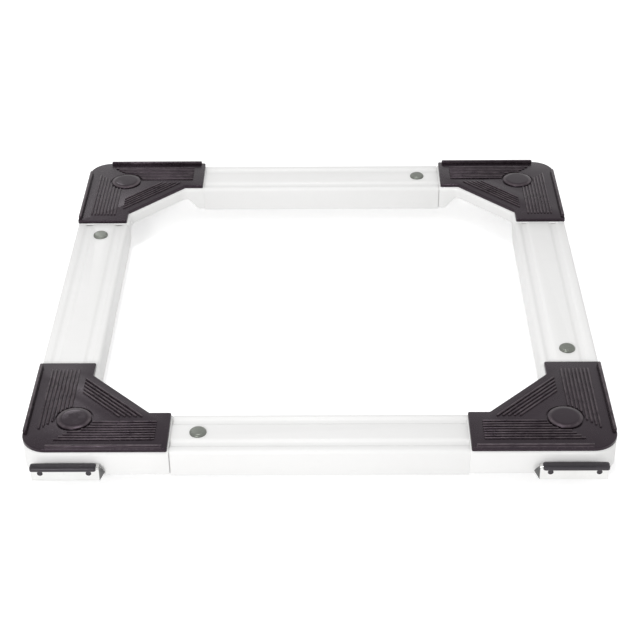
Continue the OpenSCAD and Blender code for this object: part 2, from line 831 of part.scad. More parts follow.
// Swivel fork: its wheel trails towards the rear face
module caster_fork(side) {
    color("silver") at_rear(side) translate([wheel_in, wheel_in, 0]) difference() {
        union() {
            translate([-cheek_half - plate_t, -fork_half, fork_top - plate_t])
                cube([2 * (cheek_half + plate_t), 2 * fork_half, plate_t]);
            for (x = [-cheek_half - plate_t, cheek_half])
                translate([x, 0, 0]) fork_cheek(-trail, fork_top, fork_half);
        }
        translate([0, 0, fork_top - plate_t - past])
            cylinder(h = plate_t + 2 * past, r = king_r + running);
    }
}

module caster_axle(side) {
    color("silver") at_rear(side) translate([wheel_in, wheel_in - trail, wheel_r]) axle_shape();
}

module caster_hub(side) {
    color("dimgray") at_rear(side) translate([wheel_in, wheel_in - trail, wheel_r]) hub_shape();
}

module caster_tyre(side) {
    color([0.15, 0.15, 0.16]) at_rear(side)
        translate([wheel_in, wheel_in - trail, wheel_r]) tyre_shape();
}

corner_pressing(FRONT_LEFT);  // corner_front_left
corner_pressing(FRONT_RIGHT);  // corner_front_right
corner_pressing(REAR_RIGHT);  // corner_rear_right
corner_pressing(REAR_LEFT);  // corner_rear_left
outer_channel(FRONT_LEFT);  // outer_channel_left
outer_channel(FRONT_RIGHT);  // outer_channel_front
outer_channel(REAR_RIGHT);  // outer_channel_right
outer_channel(REAR_LEFT);  // outer_channel_rear
inner_channel(FRONT_LEFT);  // inner_channel_front
inner_channel(FRONT_RIGHT);  // inner_channel_right
inner_channel(REAR_RIGHT);  // inner_channel_rear
inner_channel(REAR_LEFT);  // inner_channel_left
pad(FRONT_LEFT);  // pad_front_left
pad(FRONT_RIGHT);  // pad_front_right
pad(REAR_RIGHT);  // pad_rear_right
pad(REAR_LEFT);  // pad_rear_left
clamp_screw(FRONT_LEFT);  // clamp_screw_left
clamp_screw(FRONT_RIGHT);  // clamp_screw_front
clamp_screw(REAR_RIGHT);  // clamp_screw_right
clamp_screw(REAR_LEFT);  // clamp_screw_rear
clamp_nut(FRONT_LEFT);  // clamp_nut_left
clamp_nut(FRONT_RIGHT);  // clamp_nut_front
clamp_nut(REAR_RIGHT);  // clamp_nut_right
clamp_nut(REAR_LEFT);  // clamp_nut_rear
roller_bracket(LEFT);  // roller_bracket_left
roller_bracket(RIGHT);  // roller_bracket_right
roller_axle(LEFT);  // roller_axle_left
roller_axle(RIGHT);  // roller_axle_right
roller_hub(LEFT);  // roller_hub_left
roller_hub(RIGHT);  // roller_hub_right
roller_tyre(LEFT);  // roller_tyre_left
roller_tyre(RIGHT);  // roller_tyre_right
front_rivets(LEFT);  // front_rivets_left
front_rivets(RIGHT);  // front_rivets_right
pedal_bracket(LEFT);  // pedal_bracket_left
pedal_bracket(RIGHT);  // pedal_bracket_right
pedal_pin(LEFT);  // pedal_pin_left
pedal_pin(RIGHT);  // pedal_pin_right
pedal_lever(LEFT);  // pedal_lever_left
pedal_lever(RIGHT);  // pedal_lever_right
pedal_grip(LEFT);  // pedal_grip_left
pedal_grip(RIGHT);  // pedal_grip_right
brake_shoe(LEFT);  // brake_shoe_left
brake_shoe(RIGHT);  // brake_shoe_right
caster_plate(LEFT);  // caster_plate_left
caster_plate(RIGHT);  // caster_plate_right
king_pin(LEFT);  // king_pin_left
king_pin(RIGHT);  // king_pin_right
thrust_washer(LEFT);  // thrust_washer_left
thrust_washer(RIGHT);  // thrust_washer_right
caster_fork(LEFT);  // caster_fork_left
caster_fork(RIGHT);  // caster_fork_right
caster_axle(LEFT);  // caster_axle_left
caster_axle(RIGHT);  // caster_axle_right
caster_hub(LEFT);  // caster_hub_left
caster_hub(RIGHT);  // caster_hub_right
caster_tyre(LEFT);  // caster_tyre_left
caster_tyre(RIGHT);  // caster_tyre_right
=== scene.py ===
"""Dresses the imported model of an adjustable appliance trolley.

The pressed corners, the telescoping channels, the rubber pads, the clamp screws, the brake pedals
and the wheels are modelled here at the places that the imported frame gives. The few hidden parts
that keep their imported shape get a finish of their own.
"""

import json
import logging
import math
from collections.abc import Callable, Iterable, Iterator
from contextlib import contextmanager
from dataclasses import dataclass, field
from enum import Enum

import bmesh
import bpy
from mathutils import Matrix, Vector


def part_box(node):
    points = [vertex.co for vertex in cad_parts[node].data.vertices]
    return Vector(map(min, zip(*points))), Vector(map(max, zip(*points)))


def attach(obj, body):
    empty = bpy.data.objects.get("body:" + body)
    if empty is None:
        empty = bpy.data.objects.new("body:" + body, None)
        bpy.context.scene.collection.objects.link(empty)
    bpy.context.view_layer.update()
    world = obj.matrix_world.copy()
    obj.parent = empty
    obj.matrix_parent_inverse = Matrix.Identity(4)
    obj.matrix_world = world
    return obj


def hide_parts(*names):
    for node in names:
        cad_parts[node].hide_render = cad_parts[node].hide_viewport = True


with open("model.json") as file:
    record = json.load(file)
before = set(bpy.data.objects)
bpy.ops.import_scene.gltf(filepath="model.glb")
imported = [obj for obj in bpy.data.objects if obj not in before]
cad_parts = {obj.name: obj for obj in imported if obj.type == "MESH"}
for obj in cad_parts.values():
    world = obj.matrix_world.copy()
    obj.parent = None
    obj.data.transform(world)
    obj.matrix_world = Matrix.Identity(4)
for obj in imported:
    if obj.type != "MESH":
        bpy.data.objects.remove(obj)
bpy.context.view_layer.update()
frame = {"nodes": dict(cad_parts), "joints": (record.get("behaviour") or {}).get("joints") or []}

MM = 0.001
NEAR = 0.02 * MM
QUARTER = math.radians(90)
X, Y, Z = range(3)
LOG = logging.getLogger("trolley")

Piece = bpy.types.Object
Socket = bpy.types.NodeSocket
Test = Callable[[Vector], bool]
Spot = tuple[float, float, float]
Colour = tuple[float, float, float, float]


class Corner(Enum):
    """The four corner units, counted anticlockwise from the front left one."""

    FRONT_LEFT = 0
    FRONT_RIGHT = 1
    REAR_RIGHT = 2
    REAR_LEFT = 3

    @property
    def label(self) -> str:
        """Name of the corner, which is also the name of its body."""
        return self.name.lower()

    @property
    def outer(self) -> str:
        """Side of the frame that the corner's outer channel lies along."""
        return ("left", "front", "right", "rear")[self.value]

    @property
    def inner(self) -> str:
        """Side of the frame that the corner's inner channel runs into."""
        return ("front", "right", "rear", "left")[self.value]


class Side(Enum):
    """The two sides that the wheels and pedals are built for."""

    LEFT = "left"
    RIGHT = "right"


class Part(Enum):
    """What a selection holds."""

    VERTEX = "VERT"
    EDGE = "EDGE"
    FACE = "FACE"


class Fold(Enum):
    """Angles in degrees between two faces, from which the edge between them is picked."""

    SQUARE = 60
    BENT = 30
    SLIGHT = 15
    FAINT = 5


def near(a: float, b: float) -> bool:
    """Whether two lengths are the same to a fiftieth of a millimetre."""
    return abs(a - b) < NEAR


def at(axis: int, *places: float) -> Test:
    """Gives the test of whether a point is at one of some places along an axis."""
    return lambda p: any(near(p[axis], place) for place in places)


def ease(x: float) -> float:
    """A smooth rise from 0 to 1."""
    return (1 - math.cos(math.pi * min(max(x, 0), 1))) / 2


SWAP = Matrix(((0, 1, 0, 0), (1, 0, 0, 0), (0, 0, 1, 0), (0, 0, 0, 1)))


@dataclass(frozen=True)
class Layout:
    """Outer faces of the closed frame and the height of its steel top."""

    left: float
    right: float
    front: float
    rear: float
    top: float

    @classmethod
    def read(cls) -> "Layout":
        """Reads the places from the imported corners.

        Returns:
            The layout of the closed frame.
        """
        low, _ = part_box("corner_front_left")
        _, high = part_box("corner_rear_right")
        return cls(low.x, high.x, low.y, high.y, high.z)

    def at_corner(self, corner: Corner) -> Matrix:
        """Gives a corner unit's place: x along its inner arm, y along its outer arm.

        Args:
            corner: The corner unit.

        Returns:
            The matrix that takes the unit's own axes to the frame's.
        """
        x = self.left if corner in (Corner.FRONT_LEFT, Corner.REAR_LEFT) else self.right
        y = self.front if corner in (Corner.FRONT_LEFT, Corner.FRONT_RIGHT) else self.rear
        return Matrix.Translation((x, y, 0)) @ Matrix.Rotation(QUARTER * corner.value, 4, "Z")

    def at_side(self, side: Side, rear: bool) -> Matrix:
        """Gives the place of hardware at a corner: x and y lead inwards from its outer faces.

        Args:
            side: The left or the right side.
            rear: Whether y starts from the rear face.

        Returns:
            The matrix that takes the hardware's own axes to the frame's.
        """
        x = self.left if side is Side.LEFT else self.right
        y = self.rear if rear else self.front
        turned = (1 if side is Side.LEFT else -1, -1 if rear else 1, 1)
        return Matrix.Translation((x, y, 0)) @ Matrix.Diagonal((*turned, 1))

    def local_box(self, node: str, place: Matrix) -> tuple[Vector, Vector]:
        """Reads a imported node's box in a unit's own axes.

        Args:
            node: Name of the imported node.
            place: The unit's place.

        Returns:
            The lowest and the highest corner.
        """
        back = place.inverted()
        ends = [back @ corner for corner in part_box(node)]
        low = Vector(min(e[i] for e in ends) for i in range(3))
        high = Vector(max(e[i] for e in ends) for i in range(3))
        return low, high


class Bench:
    """Modelling steps, each on one object, in the order that they would be done by hand."""

    def hold(self, piece: Piece) -> None:
        """Makes a piece the only one that is selected, and the active one.

        Args:
            piece: The piece.
        """
        bpy.ops.object.select_all(action="DESELECT")
        piece.select_set(True)
        bpy.context.view_layer.objects.active = piece

    def called(self, piece: Piece, name: str) -> Piece:
        """Names a piece and its mesh.

        Args:
            piece: The piece.
            name: Its new name.

        Returns:
            The same object.
        """
        piece.name = name
        piece.data.name = name
        return piece

    def added(self, name: str) -> Piece:
        """Names the primitive that was just added and moves its place into its mesh.

        Args:
            name: Its new name.

        Returns:
            The new object.
        """
        piece = self.called(bpy.context.object, name)
        self.hold(piece)
        bpy.ops.object.transform_apply(location=True, rotation=True, scale=True)
        return piece

    def block(self, name: str, low: Iterable[float], high: Iterable[float]) -> Piece:
        """Adds a box between two corners.

        Args:
            name: Name of the new piece.
            low: Its lowest corner.
            high: Its highest corner.

        Returns:
            The new object.
        """
        low, high = Vector(low), Vector(high)
        bpy.ops.object.select_all(action="DESELECT")
        bpy.ops.mesh.primitive_cube_add(size=1, location=(low + high) / 2, scale=high - low)
        return self.added(name)

    def sheet(self, name: str, low: Iterable[float], high: Iterable[float], z: float) -> Piece:
        """Adds a level rectangle.

        Args:
            name: Name of the new piece.
            low: Its lowest x and y.
            high: Its highest x and y.
            z: Its height.

        Returns:
            The new object.
        """
        low, high = Vector(low), Vector(high)
        middle = (low + high) / 2
        size = high - low
        bpy.ops.object.select_all(action="DESELECT")
        bpy.ops.mesh.primitive_plane_add(size=1, location=(middle.x, middle.y, z))
        bpy.context.object.scale = (size.x, size.y, 1)
        return self.added(name)

    def rod(self, name: str, start: Iterable[float], end: Iterable[float], radius: float,
            sides: int = 48) -> Piece:
        """Adds a round bar between two points.

        Args:
            name: Name of the new piece.
            start: Middle of one end.
            end: Middle of the other end.
            radius: Its radius.
            sides: Number of faces round it.

        Returns:
            The new object.
        """
        start, end = Vector(start), Vector(end)
        run = end - start
        bpy.ops.object.select_all(action="DESELECT")
        bpy.ops.mesh.primitive_cylinder_add(
            vertices=sides, radius=radius, depth=run.length, location=(start + end) / 2,
            rotation=run.to_track_quat("Z", "Y").to_euler())
        return self.added(name)

    @contextmanager
    def editing(self, piece: Piece) -> Iterator[None]:
        """Opens a piece in edit mode for the steps inside the block.

        Args:
            piece: The piece.

        Returns:
            The block's context, in which the piece is in edit mode.
        """
        self.hold(piece)
        bpy.ops.object.mode_set(mode="EDIT")
        yield
        bpy.ops.object.mode_set(mode="OBJECT")

    def pick(self, part: Part, test: Test, middle: bool = False, rim: bool = False,
             fold: Fold | None = None) -> None:
        """Selects parts of the edited mesh by the place of their vertices, and nothing else.

        Args:
            part: The kind of part to select.
            test: Whether a place counts. All vertices of a part have to pass it.
            middle: Whether the part's middle is tested in place of its vertices.
            rim: Whether only edges with one face count.
            fold: How sharp an edge has to be to count.
        """
        mesh = bmesh.from_edit_mesh(bpy.context.object.data)
        bpy.ops.mesh.select_mode(type=part.value)
        bpy.ops.mesh.select_all(action="DESELECT")
        for each in {Part.VERTEX: mesh.verts, Part.EDGE: mesh.edges, Part.FACE: mesh.faces}[part]:
            places = [each.co] if part is Part.VERTEX else [v.co for v in each.verts]
            if middle:
                places = [sum(places, Vector()) / len(places)]
            if rim and not each.is_boundary:
                continue
            if fold and each.calc_face_angle(0) < math.radians(fold.value):
                continue
            if all(test(place) for place in places):
                each.select_set(True)
        mesh.select_flush_mode()
        bmesh.update_edit_mesh(bpy.context.object.data)

    def split(self, point: Iterable[float], normal: Iterable[float], test: Test | None = None) -> None:
        """Cuts new edges along a plane, all through the edited mesh or through some faces.

        Args:
            point: A point on the plane.
            normal: The plane's normal.
            test: Where the faces are that are cut, if not all are.
        """
        if test:
            self.pick(Part.FACE, test)
        else:
            bpy.ops.mesh.select_all(action="SELECT")
        bpy.ops.mesh.bisect(plane_co=tuple(point), plane_no=tuple(normal))

    def extrude(self, part: Part, test: Test, move: Iterable[float], **how: object) -> None:
        """Picks edges or faces, as pick does, and draws them out along a line."""
        self.pick(part, test, **how)
        bpy.ops.mesh.extrude_region_move(TRANSFORM_OT_translate={"value": tuple(move)})

    def shift(self, part: Part, test: Test, move: Iterable[float]) -> None:
        """Picks parts, as pick does, and moves them."""
        self.pick(part, test)
        bpy.ops.transform.translate(value=tuple(move))

    def bevel(self, part: Part, test: Test, width: float, steps: int, **how: object) -> None:
        """Picks edges, or vertices of a flat outline, as pick does, and rounds them.

        Args:
            part: Whether edges or vertices are rounded.
            test: Where they are.
            width: Distance from the edge to where the round starts.
            steps: Number of faces across the round.
            how: What else pick takes.
        """
        self.pick(part, test, **how)
        bpy.ops.mesh.bevel(offset=width, segments=steps, profile=0.5,
                           affect="VERTICES" if part is Part.VERTEX else "EDGES")

    def drop(self, test: Test) -> None:
        """Deletes the faces whose middle passes a test."""
        self.pick(Part.FACE, test, middle=True)
        bpy.ops.mesh.delete(type="FACE")

    def merge_faces(self) -> None:
        """Makes one face of a flat mesh."""
        bpy.ops.mesh.select_all(action="SELECT")
        bpy.ops.mesh.dissolve_faces()

    def heal(self) -> None:
        """Merges vertices at the same place and turns all faces the same way."""
        bpy.ops.mesh.select_all(action="SELECT")
        bpy.ops.mesh.remove_doubles(threshold=NEAR / 2)
        bpy.ops.mesh.normals_make_consistent(inside=False)

    def slope_rim(self, middle: tuple[float, float], top: float, radius: float, rim: float,
                  fall: float) -> None:
        """Gives the round top of the edited mesh a rim that falls away.

        Args:
            middle: The x and y of its middle.
            top: Its height.
            radius: Its radius.
            rim: Width of the rim.
            fall: How far the rim's edge falls.
        """
        self.pick(Part.FACE, at(Z, top))
        bpy.ops.mesh.inset(thickness=rim)
        inside = radius - rim / 2
        self.shift(Part.VERTEX, lambda p: near(p.z, top) and (p.to_2d() - Vector(middle)).length > inside,
                   (0, 0, -fall))

    def modify(self, piece: Piece, kind: str, **values: object) -> None:
        """Adds a modifier to a piece and applies it.

        Args:
            piece: The piece.
            kind: Blender's name for the modifier.
            values: The modifier's settings.
        """
        self.hold(piece)
        modifier = piece.modifiers.new(kind.title(), kind)
        for key, value in values.items():
            setattr(modifier, key, value)
        bpy.ops.object.modifier_apply(modifier=modifier.name)

    def thicken(self, piece: Piece, thickness: float) -> None:
        """Gives an open sheet its thickness, on its inner side."""
        self.modify(piece, "SOLIDIFY", thickness=thickness, offset=-1, use_even_offset=True)

    def soften(self, piece: Piece, width: float, steps: int = 2, angle: float = 50) -> None:
        """Rounds every edge of a finished solid that is sharper than an angle in degrees."""
        self.modify(piece, "BEVEL", width=width, segments=steps, limit_method="ANGLE",
                    angle_limit=math.radians(angle), use_clamp_overlap=True)

    def cut(self, piece: Piece, tool: Piece) -> None:
        """Takes the tool's shape away from a piece and throws the tool away."""
        self.modify(piece, "BOOLEAN", operation="DIFFERENCE", object=tool, solver="EXACT")
        bpy.data.objects.remove(tool)

    def join(self, name: str, pieces: list[Piece]) -> Piece:
        """Joins pieces into the first one.

        Args:
            name: Name of the joined piece.
            pieces: The pieces.

        Returns:
            The joined object.
        """
        self.hold(pieces[0])
        for piece in pieces:
            piece.select_set(True)
        bpy.ops.object.join()
        return self.called(pieces[0], name)

    def copy(self, piece: Piece, name: str) -> Piece:
        """Copies a piece with a mesh of its own.

        Args:
            piece: The piece.
            name: Name of the copy.

        Returns:
            The copy.
        """
        self.hold(piece)
        bpy.ops.object.duplicate(linked=False)
        return self.called(bpy.context.object, name)

    def put(self, piece: Piece, place: Matrix) -> None:
        """Moves a piece to its place in the frame, with the place in its mesh.

        Args:
            piece: The piece, modelled in its unit's own axes.
            place: The unit's place.
        """
        self.hold(piece)
        piece.matrix_world = place
        bpy.ops.object.transform_apply(location=True, rotation=True, scale=True)
        if place.determinant() < 0:
            with self.editing(piece):
                bpy.ops.mesh.select_all(action="SELECT")
                bpy.ops.mesh.normals_make_consistent(inside=False)

    def face_up(self, piece: Piece) -> None:
        """Turns all faces of an open sheet the same way, with its highest face upwards.

        Args:
            piece: The sheet.
        """
        with self.editing(piece):
            self.heal()
        highest = max(piece.data.polygons, key=lambda face: (face.center.z, face.area))
        if highest.normal.z < 0:
            with self.editing(piece):
                bpy.ops.mesh.select_all(action="SELECT")
                bpy.ops.mesh.flip_normals()

    def swap(self, piece: Piece) -> None:
        """Swaps the two arms of an open sheet."""
        self.put(piece, SWAP)
        self.face_up(piece)

    def smooth(self, piece: Piece, angle: float) -> None:
        """Shades a piece smoothly, with its sharper edges kept."""
        self.hold(piece)
        bpy.ops.object.shade_smooth_by_angle(angle=math.radians(angle))

    def spun(self, piece: Piece, centre: Iterable[float], axis: Iterable[float], steps: int) -> None:
        """Turns a flat outline into a solid ring around an axis.

        Args:
            piece: A flat face, seen as the ring's section.
            centre: A point on the axis.
            axis: The axis.
            steps: Number of faces round the ring.
        """
        with self.editing(piece):
            self.merge_faces()
            bpy.ops.mesh.delete(type="ONLY_FACE")
            bpy.ops.mesh.select_all(action="SELECT")
            bpy.ops.mesh.spin(steps=steps, angle=2 * math.pi, center=tuple(centre), axis=tuple(axis))
            self.heal()


BENCH = Bench()


class Wiring:
    """Adds nodes to one node tree and joins their sockets."""

    def __init__(self, tree: bpy.types.NodeTree) -> None:
        """Keeps the tree that the nodes go into."""
        self.tree = tree

    def add(self, kind: str, **settings: object) -> bpy.types.Node:
        """Adds a node.

        Args:
            kind: Blender's name for the node's type.
            settings: Properties of the node, or values of its inputs by name.

        Returns:
            The new node.
        """
        node = self.tree.nodes.new(kind)
        for key, value in settings.items():
            if hasattr(node, key):
                setattr(node, key, value)
            else:
                node.inputs[key.replace("_", " ")].default_value = value
        return node

    def join(self, start: Socket, end: Socket) -> None:
        """Joins an output to an input."""
        self.tree.links.new(start, end)

    def give(self, value: object, end: Socket) -> None:
        """Gives an input its value, or joins it where the value is a socket.

        Args:
            value: The value or the socket.
            end: The input.
        """
        if isinstance(value, Socket):
            self.join(value, end)
        else:
            end.default_value = value

    def blend(self, mask: Socket, first: object, second: object) -> Socket:
        """Adds a mix of two colours, each a colour or a socket.

        Args:
            mask: How much of the second colour shows.
            first: The first colour.
            second: The second colour.

        Returns:
            The mixed colour's socket.
        """
        node = self.add("ShaderNodeMix", data_type="RGBA")
        colours = [socket for socket in node.inputs if socket.type == "RGBA"]
        self.join(mask, node.inputs[0])
        for socket, value in zip(colours, (first, second)):
            self.give(value, socket)
        return next(socket for socket in node.outputs if socket.type == "RGBA")

    def shaders(self, mask: Socket, first: Socket, second: Socket) -> Socket:
        """Adds a mix of two shaders.

        Args:
            mask: How much of the second shader shows.
            first: The first shader.
            second: The second shader.

        Returns:
            The mixed shader's socket.
        """
        node = self.add("ShaderNodeMixShader")
        for socket, value in zip(node.inputs, (mask, first, second)):
            self.join(value, socket)
        return node.outputs[0]

    def sum(self, operation: str, first: object, second: object = 0.0, clamp: bool = False) -> Socket:
        """Adds a sum of two values, each a number or a socket, or of one where the sum takes one.

        Args:
            operation: Blender's name for the sum.
            first: The first value.
            second: The second value.
            clamp: Whether the result is kept from 0 to 1.

        Returns:
            The result's socket.
        """
        node = self.add("ShaderNodeMath", operation=operation, use_clamp=clamp)
        for socket, value in zip(node.inputs, (first, second)):
            self.give(value, socket)
        return node.outputs[0]

    def product(self, first: object, *others: object) -> Socket:
        """Multiplies values one after the other.

        Args:
            first: The first value.
            others: The values that it is multiplied by.

        Returns:
            The product's socket.
        """
        for other in others:
            first = self.sum("MULTIPLY", first, other)
        return first

    def rise(self, value: Socket, start: float, slope: float) -> Socket:
        """Adds a mask that leaves 0 where a value passes the start, and climbs to 1."""
        return self.sum("MULTIPLY", self.sum("SUBTRACT", value, start), slope, clamp=True)

    def swing(self, value: Socket, width: float) -> Socket:
        """Adds a small value that swings around 0 as a mask swings around a half."""
        return self.sum("MULTIPLY", self.sum("SUBTRACT", value, 1 / 2), width)

    def noise(self, vector: Socket, scale: object, detail: float, roughness: float = 0.5) -> Socket:
        """Adds a noise pattern.

        Args:
            vector: Its coordinates.
            scale: Its scale, a number or a socket.
            detail: How many finer layers it has.
            roughness: How strong these are.

        Returns:
            The pattern's value.
        """
        node = self.add("ShaderNodeTexNoise", Detail=detail, Roughness=roughness)
        self.join(vector, node.inputs["Vector"])
        self.give(scale, node.inputs["Scale"])
        return node.outputs[0]


VECTOR = "NodeSocketVector"
NUMBER = "NodeSocketFloat"
COLOUR = "NodeSocketColor"


class Effect:
    """A node group that several finishes use, with named inputs and one named output."""

    def __init__(self, name: str, output: tuple[str, str], **inputs: str) -> None:
        """Makes an empty group that takes coordinates and more inputs.

        Args:
            name: Name of the group.
            output: The output's name and kind of socket.
            inputs: Each further input's name and kind of socket.
        """
        self.group = bpy.data.node_groups.new(name, "ShaderNodeTree")
        for label, kind in {"Vector": VECTOR, **inputs}.items():
            self.group.interface.new_socket(label, in_out="INPUT", socket_type=kind)
        self.group.interface.new_socket(output[0], in_out="OUTPUT", socket_type=output[1])
        self.wiring = Wiring(self.group)
        self.source = self.wiring.add("NodeGroupInput").outputs
        self.result = self.wiring.add("NodeGroupOutput").inputs[0]

    def put_out(self, socket: Socket) -> "Effect":
        """Joins what the group puts out, and gives the finished effect."""
        self.wiring.join(socket, self.result)
        return self

    def place(self, wiring: Wiring, vector: Socket, **values: object) -> Socket:
        """Places the group in a material.

        Args:
            wiring: The material's wiring.
            vector: Coordinates for the group's pattern.
            values: The group's inputs by name.

        Returns:
            The group's output.
        """
        node = wiring.add("ShaderNodeGroup", node_tree=self.group)
        wiring.join(vector, node.inputs["Vector"])
        for key, value in values.items():
            wiring.give(value, node.inputs[key])
        return node.outputs[0]


def cloud_effect() -> Effect:
    """Builds the slow variation of a colour over a surface.

    Returns:
        The effect, which puts out a colour between its two shades.
    """
    effect = Effect("Clouded_colour", ("Colour", COLOUR), Scale=NUMBER, Shade=COLOUR, Tint=COLOUR)
    w, source = effect.wiring, effect.source
    finer, large_share, small_share, level = 9.0, 1.6, 0.5, 0.55
    large = w.noise(source["Vector"], source["Scale"], detail=4.0, roughness=0.6)
    small = w.noise(source["Vector"], w.sum("MULTIPLY", source["Scale"], finer), detail=2.0)
    mask = w.sum("ADD", w.sum("MULTIPLY", large, large_share), w.sum("MULTIPLY", small, small_share))
    mask = w.sum("SUBTRACT", mask, level, clamp=True)
    return effect.put_out(w.blend(mask, source["Shade"], source["Tint"]))


def grain_effect() -> Effect:
    """Builds the fine relief of a moulded, sprayed or plated surface.

    Returns:
        The effect, which puts out a height.
    """
    effect = Effect("Fine_grain", ("Height", NUMBER), Scale=NUMBER, Speckle=NUMBER)
    w, source = effect.wiring, effect.source
    finer = 2.3
    swell = w.noise(source["Vector"], source["Scale"], detail=3.0, roughness=0.55)
    grit = w.add("ShaderNodeTexVoronoi", feature="SMOOTH_F1")
    w.join(source["Vector"], grit.inputs["Vector"])
    w.join(w.sum("MULTIPLY", source["Scale"], finer), grit.inputs["Scale"])
    speckle = w.sum("MULTIPLY", grit.outputs["Distance"], source["Speckle"])
    return effect.put_out(w.sum("ADD", swell, speckle))


def scuff_effect() -> Effect:
    """Builds thin handling marks that run in long streaks.

    Returns:
        The effect, which puts out a mask.
    """
    effect = Effect("Light_scuffs", ("Mask", NUMBER), Scale=NUMBER, Amount=NUMBER)
    w, source = effect.wiring, effect.source
    coarser = 0.2
    warp = w.add("ShaderNodeMapping", Rotation=(0.3, 0.2, 0.6), Scale=(1.0, 9.0, 3.0))
    w.join(source["Vector"], warp.inputs["Vector"])
    streak = w.noise(warp.outputs[0], source["Scale"], detail=5.0, roughness=0.7)
    patch = w.noise(source["Vector"], w.sum("MULTIPLY", source["Scale"], coarser), detail=2.0)
    thin = w.rise(streak, start=0.6, slope=9.0)
    where = w.rise(patch, start=0.45, slope=6.0)
    return effect.put_out(w.product(thin, where, source["Amount"]))


def edge_effect() -> Effect:
    """Builds a mask of the edges, broken up by a small pattern: scuffed edges on most finishes, with a
    painted highlight along the edges on the pad rubber and the screws, and a painted dark reflection along
    the chrome's edges.

    Returns:
        The effect, which puts out a mask.
    """
    effect = Effect("Edge_wear_and_painted_light", ("Mask", NUMBER), Width=NUMBER, Amount=NUMBER)
    w, source = effect.wiring, effect.source
    slope, edge_breakup_scale = 6.0, 700.0
    bevel = w.add("ShaderNodeBevel", samples=4)
    w.join(source["Width"], bevel.inputs["Radius"])
    turn = w.add("ShaderNodeVectorMath", operation="DOT_PRODUCT")
    w.join(bevel.outputs[0], turn.inputs[0])
    w.join(w.add("ShaderNodeNewGeometry").outputs["Normal"], turn.inputs[1])
    edge = w.sum("MULTIPLY", w.sum("SUBTRACT", 1.0, turn.outputs["Value"]), slope, clamp=True)
    edge_breakup = w.rise(w.noise(source["Vector"], edge_breakup_scale, detail=3.0), start=0.5, slope=8.0)
    return effect.put_out(w.product(edge, edge_breakup, source["Amount"]))


def crest_effect() -> Effect:
    """Builds a mask of all between two heights, broken up by a small pattern: a painted highlight on the
    pads' rib crest lines and lip tops, and a smoother band where a finish lowers its roughness.

    Returns:
        The effect, which puts out a mask.
    """
    effect = Effect("Rubbed_crests", ("Mask", NUMBER), Low=NUMBER, High=NUMBER, Amount=NUMBER)
    w, source = effect.wiring, effect.source
    soft, breakup_scale = 0.4 * MM, 160.0
    place = w.add("ShaderNodeSeparateXYZ")
    w.join(source["Vector"], place.inputs[0])
    height = place.outputs["Z"]
    above = w.sum("DIVIDE", w.sum("SUBTRACT", height, source["Low"]), soft, clamp=True)
    below = w.sum("DIVIDE", w.sum("SUBTRACT", source["High"], height), soft, clamp=True)
    broken_up = w.rise(w.noise(source["Vector"], breakup_scale, detail=3.0), start=0.25, slope=2.2)
    return effect.put_out(w.product(above, below, broken_up, source["Amount"]))


def side_shade_effect() -> Effect:
    """Builds a mask of the faces that look sideways, for a painted dark reflection, as of a room that is
    darker at the sides.

    Returns:
        The effect, which puts out a mask.
    """
    effect = Effect("Painted_dark_side_reflection", ("Mask", NUMBER), Amount=NUMBER)
    w, source = effect.wiring, effect.source
    ripple_scale, ripple_share, even_share = 60.0, 0.3, 0.85
    parts = w.add("ShaderNodeSeparateXYZ")
    w.join(w.add("ShaderNodeNewGeometry").outputs["Normal"], parts.inputs[0])
    sideways = w.rise(w.sum("ABSOLUTE", parts.outputs["X"]), start=0.35, slope=4.0)
    ripple = w.noise(source["Vector"], ripple_scale, detail=2.0)
    uneven = w.sum("ADD", w.sum("MULTIPLY", ripple, ripple_share), even_share)
    return effect.put_out(w.sum("MULTIPLY", w.product(sideways, uneven), source["Amount"], clamp=True))


@dataclass(frozen=True)
class Effects:
    """The effects that the finishes share."""

    cloud: Effect
    grain: Effect
    scuff: Effect
    edge: Effect
    # Height bands: painted highlights on the rib crest lines and lip tops, and polished bands
    crest: Effect
    # Painted dark reflection on the faces that look sideways
    side: Effect

    @classmethod
    def build(cls) -> "Effects":
        """Builds all effects once."""
        return cls(cloud_effect(), grain_effect(), scuff_effect(), edge_effect(), crest_effect(),
                   side_shade_effect())


BLACK = (0.0, 0.0, 0.0, 1.0)
WHITE = (1.0, 1.0, 1.0, 1.0)


